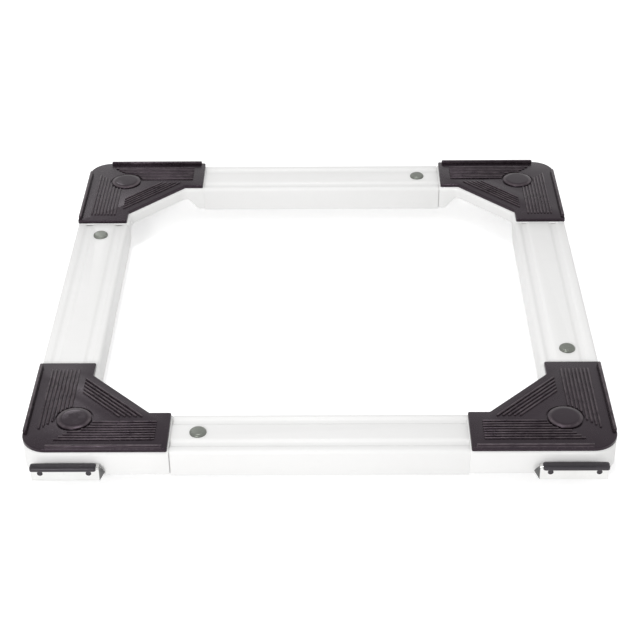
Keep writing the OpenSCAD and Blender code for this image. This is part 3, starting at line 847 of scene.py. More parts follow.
@dataclass(frozen=True)
class Finish:
    """A surface finish: its colours, its gloss, its relief, its scuffed edges, and the painted highlights
    and painted dark reflections that some finishes lay into their colour.

    Each of the painted crest highlight bands and the polished bands has a lower height, an upper height and
    an amount.
    """

    name: str
    slot: str
    shade: Colour
    tint: Colour
    marks_and_painted_light_colour: Colour
    cloud_scale: float
    roughness: float
    grain_scale: float
    scuffs: float
    edges: float
    rough_swing: float = 0.1
    sheen_swing: float = 0.06
    worn_rough: float = 0.15
    grain_speckle: float = 0.3
    grain_depth: float = 0.02 * MM
    scuff_scale: float = 90.0
    edge_width: float = 0.3 * MM
    metallic: float = 0.0
    coat: float = 0.0
    stretch: Spot = (1.0, 1.0, 1.0)
    specular: float = 0.5
    specular_tint: Colour = WHITE
    crests: tuple[Spot, ...] = ()
    polished: tuple[Spot, ...] = ()
    # How strongly the faces that look sideways take the painted dark reflection
    sides: float = 0.0

    def material(self, effects: Effects) -> bpy.types.Material:
        """Builds the finish's material.

        Args:
            effects: The shared effects.

        Returns:
            The material.
        """
        material = bpy.data.materials.new(self.name)
        material.use_nodes = True
        material.diffuse_color = self.shade
        w = Wiring(material.node_tree)
        shader = material.node_tree.nodes["Principled BSDF"]
        for label, value in (("Metallic", self.metallic), ("Coat Weight", self.coat),
                             ("Specular IOR Level", self.specular), ("Specular Tint", self.specular_tint)):
            shader.inputs[label].default_value = value
        place = w.add("ShaderNodeTexCoord").outputs["Object"]
        turned = w.add("ShaderNodeMapping", Scale=self.stretch)
        w.join(place, turned.inputs["Vector"])
        cloud = effects.cloud.place(w, place, Scale=self.cloud_scale, Shade=self.shade, Tint=self.tint)
        scuff = effects.scuff.place(w, place, Scale=self.scuff_scale, Amount=self.scuffs)
        edge = effects.edge.place(w, place, Width=self.edge_width, Amount=self.edges)
        grain = effects.grain.place(w, turned.outputs[0], Scale=self.grain_scale, Speckle=self.grain_speckle)
        # Mask of the third colour: scuffs and scuffed edges, plus the painted highlights and painted dark
        # reflections that some finishes ask for
        marks_and_painted_light = w.sum("MAXIMUM", scuff, edge)
        # Painted highlight: the crest bands lighten the rib crest lines and the lip tops
        for low, high, amount in self.crests:
            crest = effects.crest.place(w, place, Low=low, High=high, Amount=amount)
            marks_and_painted_light = w.sum("MAXIMUM", marks_and_painted_light, crest)
        # Painted dark reflection: the faces that look sideways darken
        if self.sides:
            marks_and_painted_light = w.sum("MAXIMUM", marks_and_painted_light, effects.side.place(w, place, Amount=self.sides))
        # The third colour paints the scuffs and, through the same mask, the painted highlights and painted
        # dark reflections
        w.join(w.blend(marks_and_painted_light, cloud, self.marks_and_painted_light_colour), shader.inputs["Base Color"])
        sheen = effects.cloud.place(w, place, Scale=self.cloud_scale / 2, Shade=BLACK, Tint=WHITE)
        rough = w.sum("ADD", w.swing(grain, self.rough_swing), w.swing(sheen, self.sheen_swing))
        rough = w.sum("ADD", rough, self.roughness)
        rough = w.sum("ADD", rough, w.sum("MULTIPLY", marks_and_painted_light, self.worn_rough), clamp=True)
        for low, high, amount in self.polished:
            smooth = effects.crest.place(w, place, Low=low, High=high, Amount=amount)
            rough = w.sum("SUBTRACT", rough, smooth, clamp=True)
        w.join(rough, shader.inputs["Roughness"])
        bump = w.add("ShaderNodeBump", Distance=self.grain_depth)
        w.join(grain, bump.inputs["Height"])
        w.join(bump.outputs[0], shader.inputs["Normal"])
        return material


POWDER_COAT = Finish(
    "White_powder_coat", "white_paint", (0.875, 0.872, 0.864, 1), (0.91, 0.908, 0.902, 1),
    (0.60, 0.60, 0.59, 1),
    cloud_scale=9.0, roughness=0.48, rough_swing=0.12, grain_scale=650.0, scuffs=0.10, edges=0.25, coat=0.05)
# The lighter third colour marks scuffs and is also a painted highlight: along the edges and, through the
# crest bands, on the rib crest lines and the lip tops
PAD_RUBBER = Finish(
    "Dark_pad_rubber", "pad_rubber", (0.006, 0.004, 0.005, 1), (0.014, 0.009, 0.012, 1),
    (0.09, 0.075, 0.08, 1), cloud_scale=26.0, roughness=0.24, rough_swing=0.08, sheen_swing=0.14,
    grain_scale=1500.0, grain_speckle=0.6, grain_depth=0.006 * MM, scuffs=0.25, edges=0.9,
    edge_width=0.5 * MM, specular=0.33, specular_tint=(1.0, 0.80, 0.97, 1),
    crests=((39.55 * MM, 40.65 * MM, 0.85), (41.2 * MM, 43.0 * MM, 1.0)),
    polished=((40.2 * MM, 41.4 * MM, 0.3),))
GRIP_RUBBER = Finish(
    "Black_grip_rubber", "grip_rubber", (0.012, 0.011, 0.013, 1), (0.022, 0.020, 0.024, 1),
    (0.09, 0.088, 0.09, 1), cloud_scale=60.0, roughness=0.28, rough_swing=0.15, sheen_swing=0.1,
    grain_scale=1800.0, grain_speckle=0.5, scuffs=0.3, edges=0.4, specular_tint=(1.0, 0.93, 1.0, 1))
TYRE_RUBBER = Finish(
    "Solid_tyre_rubber", "tyre_rubber", (0.020, 0.020, 0.021, 1), (0.035, 0.034, 0.034, 1),
    (0.10, 0.095, 0.088, 1), cloud_scale=70.0, roughness=0.62, rough_swing=0.2, grain_scale=1600.0,
    grain_speckle=0.8, scuffs=0.6, edges=0.5)
# The pale third colour marks scuffs and is also a painted highlight along its edges
ZINC_SCREW = Finish(
    "Dull_zinc", "zinc_screw", (0.16, 0.17, 0.15, 1), (0.22, 0.23, 0.21, 1), (0.75, 0.76, 0.74, 1),
    cloud_scale=120.0, roughness=0.3, rough_swing=0.25, grain_scale=1400.0, grain_depth=0.008 * MM,
    scuffs=0.4, edges=1.0, edge_width=0.5 * MM, metallic=1.0)
ZINC_BRACKET = Finish(
    "Zinc_plate", "zinc_bracket", (0.48, 0.49, 0.50, 1), (0.60, 0.61, 0.62, 1), (0.75, 0.75, 0.74, 1),
    cloud_scale=60.0, roughness=0.34, rough_swing=0.25, grain_scale=800.0, grain_depth=0.006 * MM,
    scuffs=0.5, edges=0.4, metallic=1.0, stretch=(1.0, 6.0, 6.0))
PIN_STEEL = Finish(
    "Plain_steel", "pin_steel", (0.42, 0.42, 0.43, 1), (0.52, 0.52, 0.52, 1), (0.7, 0.7, 0.7, 1),
    cloud_scale=90.0, roughness=0.32, rough_swing=0.25, grain_scale=900.0, grain_depth=0.006 * MM,
    scuffs=0.5, edges=0.4, metallic=1.0)
# The dark third colour marks scuffs and is also a painted dark reflection along the edges and on the faces
# that look sideways
CHROME = Finish(
    "Bright_chrome", "chrome_pedal", (0.62, 0.62, 0.61, 1), (0.68, 0.68, 0.67, 1), (0.10, 0.10, 0.10, 1),
    cloud_scale=45.0, roughness=0.1, rough_swing=0.06, grain_scale=500.0, grain_depth=0.002 * MM,
    scuffs=0.2, edges=0.9, edge_width=0.4 * MM, metallic=1.0, sides=0.95)
HUB_PLASTIC = Finish(
    "Grey_hub_plastic", "hub_plastic", (0.16, 0.16, 0.17, 1), (0.21, 0.21, 0.22, 1), (0.3, 0.3, 0.3, 1),
    cloud_scale=80.0, roughness=0.45, grain_scale=1500.0, scuffs=0.3, edges=0.3)
NYLON = Finish(
    "Natural_nylon", "washer_nylon", (0.72, 0.70, 0.62, 1), (0.80, 0.78, 0.71, 1), (0.6, 0.57, 0.5, 1),
    cloud_scale=80.0, roughness=0.4, grain_scale=1500.0, scuffs=0.3, edges=0.2)


class Bin:
    """Takes finished pieces: gives each its place, its finish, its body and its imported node."""

    def __init__(self, effects: Effects, layout: Layout) -> None:
        """Starts with no pieces and no materials.

        Args:
            effects: The shared effects.
            layout: The layout of the closed frame.
        """
        self.effects = effects
        self.layout = layout
        self.materials: dict[str, bpy.types.Material] = {}
        self.count = 0

    def material(self, finish: Finish) -> bpy.types.Material:
        """Gives the material of a finish, made the first time that it is asked for.

        Args:
            finish: The finish.

        Returns:
            The material.
        """
        if finish.name not in self.materials:
            self.materials[finish.name] = finish.material(self.effects)
        return self.materials[finish.name]

    def keep(self, piece: Piece, place: Matrix, finish: Finish, body: str, node: str,
             angle: float = 35) -> None:
        """Puts a piece in its place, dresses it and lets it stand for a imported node.

        Args:
            piece: The piece, modelled in its unit's own axes.
            place: The unit's place.
            finish: Its finish.
            body: The body that it moves with.
            node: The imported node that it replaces.
            angle: Angle in degrees from which its edges stay sharp.
        """
        BENCH.put(piece, place)
        BENCH.smooth(piece, angle)
        piece.data.materials.clear()
        piece.data.materials.append(self.material(finish))
        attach(piece, body)
        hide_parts(node)
        self.count += 1
        LOG.info("%s: %d faces, rides on %s", piece.name, len(piece.data.polygons), body)

    def keep_pair(self, source: Piece, rear: bool, finish: Finish, body: str, node: str) -> None:
        """Copies a piece of the left side to both sides and throws the first one away.

        Args:
            source: The piece, with x and y inwards from the outer faces.
            rear: Whether y starts from the rear face.
            finish: Its finish.
            body: The bodies' name without the side.
            node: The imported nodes' name without the side.
        """
        for side in Side:
            piece = BENCH.copy(source, f"{node.capitalize()}_{side.value}")
            place = self.layout.at_side(side, rear)
            self.keep(piece, place, finish, f"{body}_{side.value}", f"{node}_{side.value}")
        bpy.data.objects.remove(source)

    def dress(self, node: str, finish: Finish) -> None:
        """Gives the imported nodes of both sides, which keep their shape, their finish.

        Args:
            node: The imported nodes' name without the side.
            finish: Their finish.
        """
        for side in Side:
            piece = frame["nodes"][f"{node}_{side.value}"]
            if not piece.material_slots:
                piece.data.materials.append(None)
            for slot in piece.material_slots:
                slot.material = self.material(finish)
            self.count += 1
            LOG.info("%s_%s keeps its packed shape", node, side.value)


@dataclass
class FrameSteel:
    """The pressed corners and the channels that slide in each other."""

    layout: Layout
    bin: Bin
    sheet: float = 1.2 * MM
    bend: float = 3.2 * MM
    corner_radius: float = 20.0 * MM
    gusset: float = 94.0 * MM
    gusset_depth: float = 11.0 * MM
    fall_end: float = 110.0 * MM
    fold_radius: float = 4.0 * MM
    groove_in: float = 11.0 * MM
    groove_out: float = 9.0 * MM
    groove_half: float = 4.5 * MM
    groove_flank: float = 2.4 * MM
    groove_depth: float = 1.5 * MM
    groove_round: float = 1.0 * MM
    tongue_inset: float = 1.3 * MM
    tongue_start: float = 6.0 * MM
    tongue_length: float = 12.0 * MM
    tongue_lift: float = 1.0 * MM
    notch_from: float = 17.0 * MM
    notch_to: float = 51.5 * MM
    notch_top: float = 21.25 * MM
    notch_reach: float = 0.6 * MM
    seam: float = 0.8 * MM
    slot_radius: float = 3.2 * MM
    slot_end: float = 0.99
    screw_back: float = 20.0 * MM
    cut_reach: float = 5.0 * MM
    cut_edge: float = 0.25 * MM
    fall_steps: int = 10
    width: float = field(init=False)
    arm: float = field(init=False)
    corner_depth: float = field(init=False)
    channel_depth: float = field(init=False)

    def __post_init__(self) -> None:
        """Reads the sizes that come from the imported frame."""
        first = self.layout.at_corner(Corner.FRONT_LEFT)
        low, high = self.layout.local_box("corner_front_left", first)
        channel_low, channel_high = self.layout.local_box("outer_channel_left", first)
        self.width = channel_high.x
        self.arm = channel_low.y
        self.corner_depth = high.z - low.z
        self.channel_depth = channel_high.z - channel_low.z

    def build(self) -> None:
        """Models and places all corners and channels."""
        self.corners()
        for corner in Corner:
            self.outer_channel(corner)
            self.inner_channel(corner)

    def wall_depth(self, run: float, full: float) -> float:
        """Gives the depth of an arm's inner wall at a run from the outer corner, up to its full depth."""
        fall = ease((run - self.gusset) / (self.fall_end - self.gusset))
        return min(full, self.gusset_depth + (self.channel_depth - self.gusset_depth) * fall)

    def raise_wall(self, wall: float, bottom: float, top: float, start: float,
                   swapped: bool = False) -> None:
        """Cuts the lower edge of an arm's inner wall along its curve, in the edited mesh.

        Args:
            wall: Distance of the wall from the outer face.
            bottom: Height of the wall's lower edge.
            top: Height of the wall's upper edge.
            start: Where the wall starts along the arm.
            swapped: Whether the arm runs along x.
        """
        across, along = (Y, X) if swapped else (X, Y)
        normal = Vector((1, 0, 0) if swapped else (0, 1, 0))
        step = (self.fall_end - self.gusset) / self.fall_steps
        for k in range(self.fall_steps + 1):
            place = self.gusset + step * k
            if place > start:
                BENCH.split(normal * place, normal, at(across, wall))
        mesh = bmesh.from_edit_mesh(bpy.context.object.data)
        foot = [v.co.copy() for v in mesh.verts if near(v.co[across], wall) and near(v.co.z, bottom)
                and v.co[along] > start - NEAR]
        for spot in foot:
            rise = top - self.wall_depth(spot[along], top - bottom) - bottom
            if rise > NEAR:
                BENCH.shift(Part.VERTEX, lambda p: (p - spot).length < NEAR, (0, 0, rise))

    def plan(self, name: str, length: float, width: float, z: float) -> Piece:
        """Cuts a corner's plan out of a square sheet: two arms and a slanted inner edge.

        Args:
            name: Name of the new piece.
            length: Length of the arms from the outer corner.
            width: Width of the arms.
            z: Height of the sheet.

        Returns:
            The flat sheet, with its outer corner rounded.
        """
        piece = BENCH.sheet(name, (0, 0), (length, length), z)
        inside = self.gusset + width
        with BENCH.editing(piece):
            for place in (width, self.gusset):
                BENCH.split((place, 0, 0), (1, 0, 0))
                BENCH.split((0, place, 0), (0, 1, 0))
            BENCH.split((inside / 2, inside / 2, 0), (1, 1, 0))
            BENCH.drop(lambda p: p.x > width and p.y > width and p.x + p.y > inside)
            BENCH.merge_faces()
            BENCH.bevel(Part.VERTEX, lambda p: near(p.x, 0) and near(p.y, 0), self.corner_radius, steps=14)
        return piece

    def corner_sheet(self) -> Piece:
        """Models a corner's open sheet, with all walls but without its thickness.

        Returns:
            The sheet, alike along both arms.
        """
        top, arm, width = self.layout.top, self.arm, self.width
        bottom = top - self.corner_depth
        piece = self.plan("Corner_sheet", arm, width, top)
        with BENCH.editing(piece):
            BENCH.bevel(Part.VERTEX, lambda p: near(p.x + p.y, width + self.gusset)
                        and (near(p.x, width) or near(p.y, width)), self.fold_radius, steps=4)
            BENCH.extrude(Part.EDGE, lambda p: not near(p.x, arm) and not near(p.y, arm),
                          (0, 0, -self.corner_depth), middle=True, rim=True)
            BENCH.shift(Part.VERTEX, lambda p: near(p.z, bottom) and min(p.x, p.y) > width + NEAR,
                        (0, 0, self.corner_depth - self.gusset_depth))
            BENCH.bevel(Part.EDGE, at(Z, top), self.bend, steps=6, fold=Fold.SQUARE)
            for swapped in (False, True):
                self.raise_wall(width, bottom, top, self.gusset, swapped)
        BENCH.face_up(piece)
        return piece

    def cut_notch(self, piece: Piece) -> None:
        """Cuts the room for a pedal's lever out of the front wall and the start of its rounded corner.

        Args:
            piece: The corner's open sheet.
        """
        with BENCH.editing(piece):
            for point, normal in (((self.notch_from, 0, 0), (1, 0, 0)), ((self.notch_to, 0, 0), (1, 0, 0)),
                                  ((0, 0, self.notch_top), (0, 0, 1))):
                BENCH.split(point, normal, lambda p: p.y < self.notch_reach)
            BENCH.drop(lambda p: p.y < self.notch_reach and p.z < self.notch_top
                       and self.notch_from < p.x < self.notch_to)

    def press(self, piece: Piece) -> None:
        """Gives an open sheet its thickness and soft edges."""
        BENCH.thicken(piece, self.sheet)
        BENCH.soften(piece, self.cut_edge)

    def tongue(self) -> Piece:
        """Models the tongue that carries an outer channel on its corner.

        Returns:
            The tongue, along y.
        """
        low, high = self.tongue_inset, self.width - self.tongue_inset
        top = self.layout.top - self.tongue_inset - self.groove_depth
        start, end = self.arm - self.tongue_start, self.arm + self.tongue_length
        piece = BENCH.sheet("Tongue", (low, start), (high, end), top)
        with BENCH.editing(piece):
            fall = self.layout.top - self.corner_depth + self.tongue_lift - top
            BENCH.extrude(Part.EDGE, at(X, low, high), (0, 0, fall), middle=True)
            BENCH.bevel(Part.EDGE, at(Z, top), self.bend - self.tongue_inset, steps=4, fold=Fold.SQUARE)
        BENCH.face_up(piece)
        BENCH.thicken(piece, self.sheet)
        return piece

    def corners(self) -> None:
        """Models the four corner pressings."""
        plain = self.corner_sheet()
        notched = BENCH.copy(plain, "Notched_sheet")
        self.cut_notch(notched)
        tongue = self.tongue()
        for corner in Corner:
            front = corner in (Corner.FRONT_LEFT, Corner.FRONT_RIGHT)
            piece = BENCH.copy(notched if front else plain, f"Corner_pressing_{corner.label}")
            if corner is Corner.FRONT_RIGHT:
                BENCH.swap(piece)
            self.press(piece)
            piece = BENCH.join(piece.name, [piece, BENCH.copy(tongue, "Tongue_copy")])
            place = self.layout.at_corner(corner)
            self.bin.keep(piece, place, POWDER_COAT, corner.label, f"corner_{corner.label}")
        for spare in (plain, notched, tongue):
            bpy.data.objects.remove(spare)

    def channel_sheet(self, name: str, run: tuple[float, float], inset: float, top: float,
                      depth: float) -> Piece:
        """Models a channel's open sheet along y, with its two pressed grooves.

        Args:
            name: Name of the new piece.
            run: Where it starts and ends along y.
            inset: How far its sides lie inside an outer channel's.
            top: Height of its top.
            depth: Depth of its side walls below its top.

        Returns:
            The sheet, without its thickness.
        """
        low, high = inset, self.width - inset
        sides = at(X, low, high)
        middles = (self.groove_in, self.width - self.groove_out)
        floor = self.groove_half - self.groove_flank
        piece = BENCH.sheet(name, (low, run[0]), (high, run[1]), top)
        with BENCH.editing(piece):
            for middle in middles:
                for place in (-self.groove_half, -floor, floor, self.groove_half):
                    BENCH.split((middle + place, 0, 0), (1, 0, 0))
            BENCH.shift(Part.EDGE, lambda p: any(abs(p.x - m) < floor + NEAR for m in middles),
                        (0, 0, -self.groove_depth))
            BENCH.extrude(Part.EDGE, sides, (0, 0, -depth), middle=True)
            BENCH.bevel(Part.EDGE, lambda p: near(p.z, top) and sides(p), self.bend - inset, steps=6)
            BENCH.bevel(Part.EDGE, lambda p: low + self.bend < p.x < high - self.bend,
                        self.groove_round, steps=3, fold=Fold.SLIGHT)
        BENCH.face_up(piece)
        return piece

    def outer_channel(self, corner: Corner) -> None:
        """Models a corner's outer channel and puts it in place.

        Args:
            corner: The corner unit.
        """
        node = f"outer_channel_{corner.outer}"
        place = self.layout.at_corner(corner)
        low, high = self.layout.local_box(node, place)
        piece = self.channel_sheet(node.capitalize(), (low.y, high.y), 0, high.z, high.z - low.z)
        self.press(piece)
        middle, screw = self.width / 2, high.y - self.screw_back
        under, above = (middle, screw, high.z - self.cut_reach), (middle, screw, high.z + self.cut_reach)
        BENCH.cut(piece, BENCH.rod("Hole", under, above, self.slot_radius))
        self.bin.keep(piece, place, POWDER_COAT, corner.label, node)

    def inner_channel(self, corner: Corner) -> None:
        """Models a corner's inner channel, with its slot, and puts it in place.

        Args:
            corner: The corner unit.
        """
        node = f"inner_channel_{corner.inner}"
        place = self.layout.at_corner(corner)
        low, high = self.layout.local_box(node, place)
        inset = low.y
        piece = self.channel_sheet(node.capitalize(), (low.x, high.x), inset, high.z, high.z - low.z)
        with BENCH.editing(piece):
            self.raise_wall(self.width - inset, low.z, self.layout.top, low.x)
        BENCH.swap(piece)
        self.press(piece)
        along, across = (X, Y) if corner in (Corner.FRONT_LEFT, Corner.REAR_RIGHT) else (Y, X)
        slides = [joint for joint in frame["joints"] if joint["type"] == "slide"]
        travel = next(joint["range_m"][1] for joint in slides
                      if abs(joint["axis"][along]) > abs(joint["axis"][across]))
        self.cut_slot(piece, travel)
        self.bin.keep(piece, place, POWDER_COAT, corner.label, node)

    def cut_slot(self, piece: Piece, travel: float) -> None:
        """Cuts the clamp screw's slot, with round ends, along an inner channel.

        Args:
            piece: The channel, along x.
            travel: How far the screw moves along it.
        """
        middle, radius, top, reach = self.width / 2, self.slot_radius, self.layout.top, self.cut_reach
        start = self.arm + self.seam + self.screw_back - radius
        end = start + travel + 2 * radius
        low, high = (start, middle - radius, top - 2 * reach), (end, middle + radius, top + reach)
        tool = BENCH.block("Slot", low, high)
        with BENCH.editing(tool):
            BENCH.bevel(Part.EDGE, at(Z, top - reach / 2), radius * self.slot_end, steps=10, middle=True)
        BENCH.cut(piece, tool)


@dataclass
class RubberPads:
    """The ribbed rubber pads on the four corners."""

    layout: Layout
    bin: Bin
    steel: FrameSteel
    thickness: float = 3.0 * MM
    margin: float = 2.0 * MM
    edge: float = 0.7 * MM
    end_round: float = 1.5 * MM
    wheel: float = 37.0 * MM
    boss_radius: float = 13.6 * MM
    boss_height: float = 1.8 * MM
    boss_rim: float = 4.0 * MM
    boss_fall: float = 1.0 * MM
    moat: float = 1.4 * MM
    moat_depth: float = 0.9 * MM
    rib_count: int = 8
    rib_first: float = 11.5 * MM
    rib_pitch: float = 3.05 * MM
    rib_radius: float = 0.9 * MM
    rib_rise: float = 0.25 * MM
    rib_end: float = 101.0 * MM
    rib_end_round: float = 0.7
    rib_stagger: float = 13.0 * MM
    brace_count: int = 5
    brace_first: float = 111.0 * MM
    brace_pitch: float = 3.1 * MM
    brace_in: float = 39.5 * MM
    lip_start: float = 19.5 * MM
    lip_end: float = 107.5 * MM
    lip_edge: float = 0.2 * MM
    lip_width: float = 3.0 * MM
    lip_height: float = 2.6 * MM
    lip_round: float = 0.9 * MM
    peg_places: tuple[tuple[float, float], ...] = (
        (60.5 * MM, 27 * MM), (27 * MM, 60.5 * MM), (58 * MM, 58 * MM))
    peg_radius: float = 2.9 * MM
    peg_rise: float = 1.0 * MM
    peg_head: float = 4.2 * MM
    peg_head_height: float = 1.8 * MM
    peg_head_round: float = 1.0 * MM
    sunk: float = 0.5 * MM
    length: float = field(init=False)
    face: float = field(init=False)

    def __post_init__(self) -> None:
        """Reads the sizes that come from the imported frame."""
        _, high = self.layout.local_box("pad_front_left", self.layout.at_corner(Corner.FRONT_LEFT))
        self.length = high.x
        self.face = self.layout.top + self.thickness

    def build(self) -> None:
        """Models one pad and puts a copy on each corner."""
        pieces = [self.base(), self.boss()]
        for swapped in (False, True):
            pieces += [self.lip(swapped), *self.ribs(swapped)]
        pad = BENCH.join("Pad", [*pieces, *self.braces(), *self.pegs()])
        for corner in Corner:
            piece = BENCH.copy(pad, f"Rubber_pad_{corner.label}")
            place = self.layout.at_corner(corner)
            self.bin.keep(piece, place, PAD_RUBBER, corner.label, f"pad_{corner.label}", angle=40)
        bpy.data.objects.remove(pad)

    def base(self) -> Piece:
        """Models the pad's flat body with soft edges and the groove around its boss.

        Returns:
            The body.
        """
        width = self.steel.width - self.margin
        piece = self.steel.plan("Pad_base", self.length, width, self.face)
        with BENCH.editing(piece):
            BENCH.bevel(Part.VERTEX, lambda p: (near(p.x, self.length) or near(p.y, self.length))
                        and not (self.sunk < min(p.x, p.y) < width - self.sunk), self.end_round, steps=4)
        BENCH.face_up(piece)
        BENCH.thicken(piece, self.thickness)
        with BENCH.editing(piece):
            BENCH.bevel(Part.EDGE, at(Z, self.face), self.edge, steps=3, fold=Fold.SQUARE)
        floor = (self.wheel, self.wheel, self.face - self.moat_depth)
        above = (self.wheel, self.wheel, self.face + self.thickness)
        BENCH.cut(piece, BENCH.rod("Moat", floor, above, self.boss_radius + self.moat, sides=64))
        return piece

    def boss(self) -> Piece:
        """Models the round boss, with a flat middle and a rim that falls away.

        Returns:
            The boss.
        """
        foot, top = self.face - self.boss_height, self.face + self.boss_height
        middle = (self.wheel, self.wheel)
        piece = BENCH.rod("Boss", (*middle, foot), (*middle, top), self.boss_radius, sides=64)
        with BENCH.editing(piece):
            BENCH.slope_rim(middle, top, self.boss_radius, self.boss_rim, self.boss_fall)
            BENCH.bevel(Part.EDGE, lambda p: p.z > self.face, self.edge, steps=3, fold=Fold.FAINT)
        return piece

    def rib(self, start: tuple[float, float], end: tuple[float, float]) -> Piece:
        """Models one rib, half sunk in the pad, with round ends.

        Args:
            start: Its first end, seen from above.
            end: Its other end.

        Returns:
            The rib.
        """
        level = self.face + self.rib_rise
        piece = BENCH.rod("Rib", (*start, level), (*end, level), self.rib_radius, sides=12)
        with BENCH.editing(piece):
            BENCH.bevel(Part.EDGE, lambda p: True, self.rib_radius * self.rib_end_round, steps=3,
                        fold=Fold.SQUARE)
        return piece

    def ribs(self, swapped: bool) -> list[Piece]:
        """Models the ribs of one arm: each starts further out, and none reaches the boss.

        Args:
            swapped: Whether the arm runs along y.

        Returns:
            The ribs.
        """
        clear = self.boss_radius + self.moat
        ribs = []
        for k in range(self.rib_count):
            across = self.rib_first + self.rib_pitch * k
            off = across - self.wheel
            past_boss = self.wheel + math.sqrt(max(clear ** 2 - off ** 2, 0))
            start = max(across + self.rib_stagger, past_boss if abs(off) < clear else 0)
            ends = ((start, across), (self.rib_end, across))
            ribs.append(self.rib(*(e[::-1] for e in ends)) if swapped else self.rib(*ends))
        return ribs

    def braces(self) -> list[Piece]:
        """Models the slanted ribs across the inner part.

        Returns:
            The ribs.
        """
        runs = [self.brace_first + self.brace_pitch * math.sqrt(2) * k for k in range(self.brace_count)]
        near_end = self.brace_in
        return [self.rib((near_end, run - near_end), (run - near_end, near_end)) for run in runs]

    def lip(self, swapped: bool) -> Piece:
        """Models the raised lip along one outer edge.

        Args:
            swapped: Whether it lies along y.

        Returns:
            The lip.
        """
        low = (self.lip_start, self.lip_edge, self.face - self.sunk)
        high = (self.lip_end, self.lip_width, self.face + self.lip_height)
        if swapped:
            low, high = (low[1], low[0], low[2]), (high[1], high[0], high[2])
        piece = BENCH.block("Lip", low, high)
        with BENCH.editing(piece):
            BENCH.bevel(Part.EDGE, lambda p: p.z > self.face, self.lip_round, steps=4, middle=True)
        return piece

    def pegs(self) -> list[Piece]:
        """Models the pegs that hold the pad, with round heads under the sheet.

        Returns:
            The pegs and their heads.
        """
        under = self.layout.top - self.steel.sheet
        low = under - self.peg_head_height
        pegs = []
        for x, y in self.peg_places:
            top = (x, y, self.layout.top + self.peg_rise)
            pegs.append(BENCH.rod("Peg", (x, y, under), top, self.peg_radius, sides=24))
            head = BENCH.rod("Peg_head", (x, y, low), (x, y, under), self.peg_head, sides=32)
            with BENCH.editing(head):
                BENCH.bevel(Part.EDGE, at(Z, low), self.peg_head_round, steps=4)
            pegs.append(head)
        return pegs


@dataclass
class ClampScrews:
    """The clamp screws with their washers and nuts."""

    layout: Layout
    bin: Bin
    head_radius: float = 6.5 * MM
    head_height: float = 2.2 * MM
    rim: float = 1.3 * MM
    rim_fall: float = 1.1 * MM
    radius: float = 3.0 * MM
    washer: float = 1.2 * MM
    flats: float = 10.0 * MM
    round: float = 0.35 * MM

    def build(self) -> None:
        """Models one screw and one nut and puts a copy on each channel."""
        first = self.layout.at_corner(Corner.FRONT_LEFT)
        screw_low, _ = self.layout.local_box("clamp_screw_left", first)
        nut_low, nut_high = self.layout.local_box("clamp_nut_left", first)
        screw, nut = self.screw(screw_low.z), self.nut(nut_low.z, nut_high.z)
        for corner in Corner:
            place = self.layout.at_corner(corner)
            low, high = self.layout.local_box(f"clamp_screw_{corner.outer}", place)
            middle = place @ Matrix.Translation(((low.x + high.x) / 2, (low.y + high.y) / 2, 0))
            for source, label in ((screw, "clamp_screw"), (nut, "clamp_nut")):
                node = f"{label}_{corner.outer}"
                piece = BENCH.copy(source, node.capitalize())
                self.bin.keep(piece, middle, ZINC_SCREW, corner.label, node, angle=30)
        for spare in (screw, nut):
            bpy.data.objects.remove(spare)

    def screw(self, bottom: float) -> Piece:
        """Models the screw: a low head with a sloping rim, and its shank.

        Args:
            bottom: Height of the shank's end.

        Returns:
            The screw, around the z axis.
        """
        foot, top = self.layout.top, self.layout.top + self.head_height
        head = BENCH.rod("Head", (0, 0, foot), (0, 0, top), self.head_radius)
        with BENCH.editing(head):
            BENCH.slope_rim((0, 0), top, self.head_radius, self.rim, self.rim_fall)
            BENCH.bevel(Part.EDGE, lambda p: p.z > foot + NEAR, self.round, steps=3, fold=Fold.SLIGHT)
        shank = BENCH.rod("Shank", (0, 0, bottom), (0, 0, foot + self.round), self.radius, sides=32)
        with BENCH.editing(shank):
            BENCH.bevel(Part.EDGE, at(Z, bottom), 2 * self.round, steps=2)
        return BENCH.join("Screw", [head, shank])

    def nut(self, bottom: float, top: float) -> Piece:
        """Models the washer and the nut under it.

        Args:
            bottom: Height of the nut's lower face.
            top: Height of the washer's upper face.

        Returns:
            The washer and nut, around the z axis.
        """
        seat = top - self.washer
        washer = BENCH.rod("Washer", (0, 0, seat), (0, 0, top), self.head_radius)
        BENCH.soften(washer, self.round, angle=60)
        nut = BENCH.rod("Nut", (0, 0, bottom), (0, 0, seat), self.flats / math.sqrt(3), sides=6)
        BENCH.soften(nut, 2 * self.round, steps=3, angle=80)
        BENCH.soften(nut, self.round / 2)
        return BENCH.join("Nut", [washer, nut])


